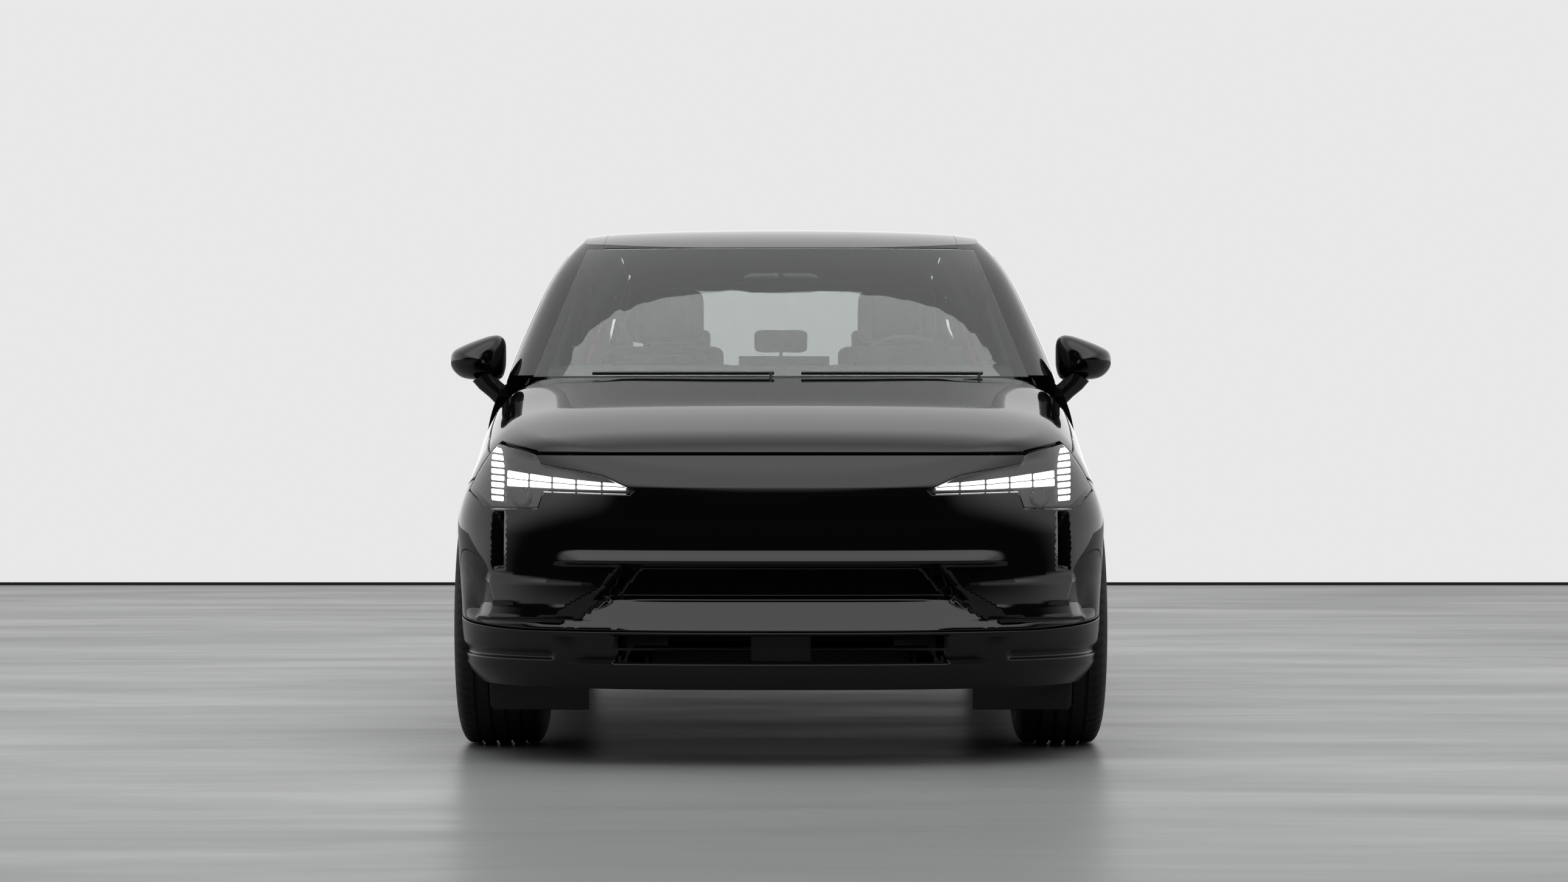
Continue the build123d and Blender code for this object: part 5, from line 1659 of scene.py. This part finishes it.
# ---------------------------------------------------------------- wheels
@dataclass
class Tyre:
    """A road tyre with three rain grooves, sipes and a rounded shoulder.

    Attributes:
        radius: outer radius.
        half_width: half of its section's width.
        bead: radius of its bead.
        grooves: (place across, half width) of the grooves around it.
        groove_depth: depth of the grooves.
        pitch: number of tread blocks around.
    """

    radius: float = WHEEL_R
    half_width: float = 0.121
    bead: float = 0.246
    grooves: Points = ((-0.062, 0.0045), (-0.021, 0.0055), (0.021, 0.0055), (0.062, 0.0045))
    groove_depth: float = 0.0065
    pitch: int = 72

    def section(self) -> Array:
        """(across, radius) rows from one bead over the tread to the other."""
        half, r, b = self.half_width, self.radius, self.bead
        side = [(half - 0.012, b - 0.006), (half - 0.004, b - 0.004), (half - 0.001, b + 0.003),
                (half, b + 0.012), (half + 0.0005, b + 0.02), (half - 0.001, b + 0.023),
                (half + 0.001, b + 0.03), (half + 0.0012, b + 0.045), (half, b + 0.06),
                (half - 0.004, b + 0.075), (half - 0.011, b + 0.09), (half - 0.017, r - 0.008),
                (half - 0.024, r - 0.003)]
        edges = [0.0]
        for middle, wide in self.grooves:
            if middle > 0:
                edges += [middle - wide - 0.001, middle - wide, middle + wide, middle + wide + 0.001]
        places = {round(x, 4) for x in edges} | {0.01, 0.04, 0.05, 0.08, 0.088}
        flat = [(place, r - 0.9 * (place / half) ** 4 * 0.004) for place in sorted(places, reverse=True)]
        right = side + flat
        left = [(-a, q) for a, q in right[::-1] if a > 0]
        return np.array(right + left)

    def build(self, name: str, node: str, body: str, middle: Place) -> None:
        """Builds one tyre.

        Args:
            name: object name.
            node: CAD node that it stands for.
            body: CAD body that it rides on.
            middle: wheel centre.
        """
        section = self.section()
        across, radius = section.T
        steps = self.pitch * 5
        turn = np.arange(steps) * 2 * math.pi / steps
        grid_a = np.repeat(across[None], steps, 0)
        grid_r = np.repeat(radius[None], steps, 0)
        depth = np.zeros_like(grid_r)
        for place, wide in self.grooves:
            depth = np.maximum(depth, (np.abs(grid_a - place) < wide + 1e-5) * self.groove_depth)
        phase = (np.arange(steps)[:, None] + np.round(np.abs(grid_a) * 60)) % 5
        sipe = (np.abs(grid_a) > 0.025) & (grid_r > self.radius - 0.009) & (phase == 0)
        for share, deep in ((np.abs(grid_a) > 0.066, 0.004), (np.abs(grid_a) < 0.058, 0.003)):
            depth = np.maximum(depth, np.where(sipe & share, deep, 0))
        grid_r = grid_r - depth
        points = np.stack([middle[0] + grid_a, middle[1] + grid_r * np.cos(turn)[:, None],
                           middle[2] + grid_r * np.sin(turn)[:, None]], 2).reshape(-1, 3)
        count = len(across)
        faces = lattice(steps, count, round_rows=True)
        starts = np.arange(steps) * count
        for here, after in zip(starts, np.roll(starts, -1)):
            faces.append((after, after + count - 1, here + count - 1, here))
        kit = MeshKit()
        kit.add(points, faces)
        kit.make(name, body, [RUBBER], [node], sharp=40)


@dataclass
class WheelTrim:
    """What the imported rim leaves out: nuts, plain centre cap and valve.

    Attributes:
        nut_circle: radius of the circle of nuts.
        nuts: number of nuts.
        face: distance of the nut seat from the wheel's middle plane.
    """

    nut_circle: float = 0.054
    nuts: int = 5
    face: float = 0.086

    def lathe(self, kit: MeshKit, middle: Array, sign: int, rows: Points, slot: int, count: int = 40) -> None:
        """Adds a turned piece about an axle.

        Args:
            kit: where its faces go.
            middle: (y, z) of its axis.
            sign: 1 on the left side and -1 on the right.
            rows: (distance outward from the wheel's middle plane, radius) rows in metres.
            slot: material slot number.
            count: sides.
        """
        turn = np.arange(count) * 2 * math.pi / count
        points = np.concatenate([np.stack([np.full(count, sign * (WHEEL_X + a)), middle[0] + r * np.cos(turn),
                                           middle[1] + r * np.sin(turn)], 1) for a, r in rows])
        faces = lattice(len(rows), count, round_columns=True)
        kit.add(points, faces if sign > 0 else [f[::-1] for f in faces], None, slot)

    def build(self, name: str, body: str, y: float, sign: int) -> None:
        """Builds the trim of one wheel.

        Args:
            name: object name.
            body: CAD body that it rides on.
            y: station of the axle.
            sign: 1 on the left side and -1 on the right.
        """
        kit = MeshKit()
        axis = np.array([y, WHEEL_R])
        cap = ((0.0845, 0.0), (0.0885, 0.002), (0.0885, 0.024), (0.0875, 0.0275), (0.0845, 0.0285))
        self.lathe(kit, axis, sign, cap[::-1], 1)
        for k in range(self.nuts):
            turn = 2 * math.pi * (k + 0.5) / self.nuts
            at = axis + self.nut_circle * np.array([math.cos(turn), math.sin(turn)])
            nut = ((self.face - 0.014, 0.0105), (self.face - 0.004, 0.0105), (self.face - 0.002, 0.009),
                   (self.face - 0.002, 0.001))
            self.lathe(kit, at, sign, nut, 0, 6)
        valve = axis + 0.205 * np.array([math.cos(0.63), math.sin(0.63)])
        self.lathe(kit, valve, sign, ((0.06, 0.004), (0.094, 0.0035), (0.096, 0.002), (0.096, 0.0005)), 2, 14)
        kit.make(name, body, [CHROME, TRIM, RUBBER])


# ---------------------------------------------------------------- studio
@dataclass
class Studio:
    """A white seamless room: grey glossy floor, pale back wall with a painted shadow gap at its foot, soft
    light from above.

    Attributes:
        wall_y: station of the back wall.
        wall_colour: how bright the wall and the far room look.
        wall_height: height of the wall.
        painted_shadow_gap: height of a matt black strip at the foot of the wall, painted shade standing in
            for the shadow in the joint of floor and wall.
        size: half length of the floor.
        eye: where the camera stands.
        lens: its focal length in millimetres.
        shift: its shift across and up.
    """

    wall_y: float = 8.2
    wall_colour: str = "e8e8e8"
    wall_height: float = 30.0
    painted_shadow_gap: float = 0.016
    # Painted shade: a matt black strip at the wall's foot stands in for the shadow in the joint of floor and
    # wall.
    size: float = 60.0
    eye: Place = (0.0, -11.817, 0.95)
    lens: float = 83.9
    shift: tuple[float, float] = (0.002, -0.01875)

    def sheet(self, name: str, corners: Sequence[Place], build: Callable) -> None:
        """Adds a flat sheet with its own material.

        Args:
            name: object name.
            corners: its corners.
            build: fills in the material's node tree.
        """
        mesh = bpy.data.meshes.new(name)
        mesh.from_pydata(list(corners), [], [tuple(range(len(corners)))])
        surface = bpy.data.materials.new(name)
        surface.use_nodes = True
        surface.node_tree.nodes.clear()
        build(surface.node_tree)
        mesh.materials.append(surface)
        obj = bpy.data.objects.new(name, mesh)
        bpy.context.scene.collection.objects.link(obj)

    def floor_nodes(self, tree: bpy.types.NodeTree) -> None:
        """Painted concrete with a satin sealer that mirrors the car softly."""
        place = add_node(tree, "ShaderNodeTexCoord").outputs["Object"]
        drawn = add_node(tree, "ShaderNodeMapping", inputs={
            "Vector": place, "Scale": (0.35, 1.6, 1.0)}).outputs[0]
        streak = add_node(tree, "ShaderNodeTexNoise", inputs={
            "Vector": drawn, "Scale": 1.3, "Detail": 8.0, "Roughness": 0.62, "Distortion": 0.4})
        tint = add_node(tree, "ShaderNodeMix", {"data_type": "RGBA"}, {
            0: streak.outputs["Fac"], 6: linear("5c5d5d"), 7: linear("7f8080")}).outputs[2]
        rough = add_node(tree, "ShaderNodeMapRange", inputs={
            "Value": streak.outputs["Fac"], "From Min": 0.3, "From Max": 0.7,
            "To Min": 0.42, "To Max": 0.3}).outputs[0]
        shader = add_node(tree, "ShaderNodeBsdfPrincipled", inputs={
            "Base Color": tint, "Roughness": rough, "IOR": 1.18})
        add_node(tree, "ShaderNodeOutputMaterial", inputs={"Surface": shader.outputs[0]})

    def wall_nodes(self, tree: bpy.types.NodeTree) -> None:
        """Lit white wall, open from behind and to mirrored rays, which see the room beyond."""
        glow = add_node(tree, "ShaderNodeEmission", inputs={
            "Color": linear(self.wall_colour), "Strength": 1.0}).outputs[0]
        clear = add_node(tree, "ShaderNodeBsdfTransparent").outputs[0]
        back = add_node(tree, "ShaderNodeNewGeometry").outputs["Backfacing"]
        mirrored = add_node(tree, "ShaderNodeLightPath").outputs["Is Glossy Ray"]
        open_share = combine(tree, "MAXIMUM", back, mirrored)
        mix = add_node(tree, "ShaderNodeMixShader", inputs={0: open_share, 1: glow, 2: clear}).outputs[0]
        add_node(tree, "ShaderNodeOutputMaterial", inputs={"Surface": mix})

    def painted_shadow_gap_nodes(self, tree: bpy.types.NodeTree) -> None:
        """Matt black strip: painted shade standing in for the shadow in the joint of floor and wall."""
        shader = add_node(tree, "ShaderNodeBsdfPrincipled", inputs={
            "Base Color": linear("101010"), "Roughness": 0.7}).outputs[0]
        clear = add_node(tree, "ShaderNodeBsdfTransparent").outputs[0]
        back = add_node(tree, "ShaderNodeNewGeometry").outputs["Backfacing"]
        mix = add_node(tree, "ShaderNodeMixShader", inputs={0: back, 1: shader, 2: clear}).outputs[0]
        add_node(tree, "ShaderNodeOutputMaterial", inputs={"Surface": mix})

    def world(self) -> None:
        """A pale room that is dark low down behind the camera."""
        world = bpy.data.worlds.new("Room")
        bpy.context.scene.world = world
        world.use_nodes = True
        tree = world.node_tree
        tree.nodes.clear()
        way = add_node(tree, "ShaderNodeTexCoord").outputs["Generated"]
        split = add_node(tree, "ShaderNodeSeparateXYZ", inputs={0: way})
        # dark low down behind the camera
        lean = combine(tree, "MULTIPLY_ADD", split.outputs["Y"], 0.8, split.outputs["Z"])
        level = add_node(tree, "ShaderNodeMapRange", {"interpolation_type": "SMOOTHSTEP"}, {
            "Value": lean, "From Min": -0.3, "From Max": 0.15, "To Min": 0.012, "To Max": 1.0}).outputs[0]
        # a brighter patch high up behind the camera, over a sky that fades upwards
        high = combine(tree, "MULTIPLY_ADD", split.outputs["Y"], -0.5, split.outputs["Z"])
        high = add_node(tree, "ShaderNodeMapRange", {"interpolation_type": "SMOOTHSTEP"}, {
            "Value": high, "From Min": 0.62, "From Max": 1.0, "To Min": 0.0, "To Max": 1.1}).outputs[0]
        fade = combine(tree, "MULTIPLY_ADD", split.outputs["Z"], -0.55, 1.15)
        fade = combine(tree, "ADD", fade, high)
        level = combine(tree, "MULTIPLY", level, fade)
        scattered = add_node(tree, "ShaderNodeLightPath").outputs["Is Diffuse Ray"]
        share = combine(tree, "MULTIPLY_ADD", scattered, -0.85, 1.0)
        level = combine(tree, "MULTIPLY", level, share)
        room = add_node(tree, "ShaderNodeBackground", inputs={
            "Color": linear("ffffff"), "Strength": level}).outputs[0]
        seen = add_node(tree, "ShaderNodeBackground", inputs={
            "Color": linear(self.wall_colour), "Strength": 1.0}).outputs[0]
        camera = add_node(tree, "ShaderNodeLightPath").outputs["Is Camera Ray"]
        mix = add_node(tree, "ShaderNodeMixShader", inputs={0: camera, 1: room, 2: seen}).outputs[0]
        add_node(tree, "ShaderNodeOutputWorld", inputs={"Surface": mix})

    def lamp(self, name: str, place: Place, aim: Place, size: float, energy: float) -> None:
        """Adds a soft square light that neither the camera nor a glossy surface sees.

        Args:
            name: object name.
            place: where it hangs.
            aim: where it points.
            size: length of its side.
            energy: power in watts.
        """
        light = bpy.data.lights.new(name, "AREA")
        light.size = size
        light.energy = energy
        obj = bpy.data.objects.new(name, light)
        obj.location = place
        obj.rotation_euler = (Vector(aim) - Vector(place)).to_track_quat("-Z", "Y").to_euler()
        obj.visible_camera = False
        obj.visible_glossy = False
        bpy.context.scene.collection.objects.link(obj)

    def build(self) -> None:
        """Builds the room, the lights and the camera."""
        s, w, h, foot = self.size, self.wall_y, self.wall_height, self.painted_shadow_gap
        self.sheet("studio_floor", [(-s, -s, 0), (s, -s, 0), (s, s, 0), (-s, s, 0)], self.floor_nodes)
        self.sheet("studio_wall", [(-s, w, 0), (s, w, 0), (s, w, h), (-s, w, h)], self.wall_nodes)
        w -= 0.01
        # Painted shade: a matt black strip just in front of the wall's foot stands in for the shadow in the
        # joint.
        self.sheet("studio_painted_shadow_gap", [(-s, w, 0), (s, w, 0), (s, w, foot), (-s, w, foot)], self.painted_shadow_gap_nodes)
        self.world()
        self.lamp("overhead", (0, -1.0, 7.5), (0, -1.0, 0), 9.0, 900)
        data = bpy.data.cameras.new("camera")
        data.lens, data.sensor_width = self.lens, 36.0
        data.shift_x, data.shift_y = self.shift
        data.clip_end = 300
        camera = bpy.data.objects.new("camera", data)
        camera.location = self.eye
        camera.rotation_euler = (math.pi / 2, 0, 0)
        bpy.context.scene.collection.objects.link(camera)
        bpy.context.scene.camera = camera
        bpy.context.scene.view_settings.view_transform = "Standard"


# ---------------------------------------------------------------- CAD pieces that keep their own mesh
DRESS = {
    PAINT: ("front_door_left", "front_door_right", "rear_door_left", "rear_door_right", "body_side_left",
            "body_side_right", "charge_lid", "roof", "rear_bumper", "tailgate"),
    SCREEN_GLASS: ("windscreen", "tailgate_glass"),
    SIDE_GLASS: ("front_door_glass_left", "front_door_glass_right"),
    PRIVACY_GLASS: ("rear_door_glass_left", "rear_door_glass_right"),
    TRIM: ("charge_port",),
    CLADDING: ("cowl", "motor_cover"),
    UNDERSEAL: ("front_structure", "floor_pan"),
    CASE: ("battery_pack", "drive_motor"),
    FELT: ("wheel_arch_liners", "undertrays"),
    CHASSIS: ("front_axle", "rear_axle", "knuckle_left", "knuckle_right", "rear_knuckles"),
    RIM_PAINT: ("front_rim_left", "front_rim_right", "rear_rim_left", "rear_rim_right"),
    SOFT_SKIN: ("dashboard", "steering_wheel"),
}


def dress() -> None:
    """Gives every CAD node its finish."""
    for finish, names in DRESS.items():
        for name in names:
            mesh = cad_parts[name].data
            mesh.materials.clear()
            mesh.materials.append(finish.make())
            LOG.info("%s: %s", name, finish.name)


FACING = 0.35  # cosine past which a face counts as looking one way
# Finish, direction and lowest height in metres of the faces that look into the cabin.
LININGS = {
    "front_door_left": (SOFT_SKIN, (-1, 0, 0), 0.33),
    "front_door_right": (SOFT_SKIN, (1, 0, 0), 0.33),
    "rear_door_left": (SOFT_SKIN, (-1, 0, 0), 0.33),
    "rear_door_right": (SOFT_SKIN, (1, 0, 0), 0.33),
    "body_side_left": (HEADLINER, (-1, 0, 0), 1.03),
    "body_side_right": (HEADLINER, (1, 0, 0), 1.03),
    "roof": (HEADLINER, (0, 0, -1), 1.2),
    "floor_pan": (CARPET, (0, 0, 1), 0.2),
    "tailgate": (TRIM, (0, -1, 0), 0.4),
}


def line_cabin() -> None:
    """Gives the faces that look into the cabin their linings."""
    for name, (finish, way, low) in LININGS.items():
        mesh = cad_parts[name].data
        mesh.materials.append(finish.make())
        normals, middles = np.zeros((2, len(mesh.polygons) * 3))
        mesh.polygons.foreach_get("normal", normals)
        mesh.polygons.foreach_get("center", middles)
        facing = normals.reshape(-1, 3) @ np.array(way, float) > FACING
        inner = facing & (middles.reshape(-1, 3)[:, 2] > low)
        mesh.polygons.foreach_set("material_index", inner.astype(np.int32))


def main() -> None:
    """Builds the scene."""
    dress()
    line_cabin()
    bonnet = Bonnet()
    bonnet.build()
    NosePanel().build()
    LowerNose().build()
    Fender().build(bonnet)
    Headlamp().build()
    Mirror().build()
    TailLamps().build()
    Seal("tailgate_seal", TAILGATE_SEAL, View.REAR, FORM.shell, 0.055, 0.016).build()
    InteriorMirror().build()
    Seats().build()
    tyre = Tyre()
    for side, sign in (("left", 1), ("right", -1)):
        for end, y in (("front", FORM.front_axle), ("rear", FORM.rear_axle)):
            tyre.build(f"{end}_tread_{side}", f"{end}_tyre_{side}", f"{end}_wheel_{side}",
                       (sign * WHEEL_X, y, WHEEL_R))
            WheelTrim().build(f"{end}_wheel_trim_{side}", f"{end}_wheel_{side}", y, sign)
    Studio().build()


if __name__ == "__main__":
    main()
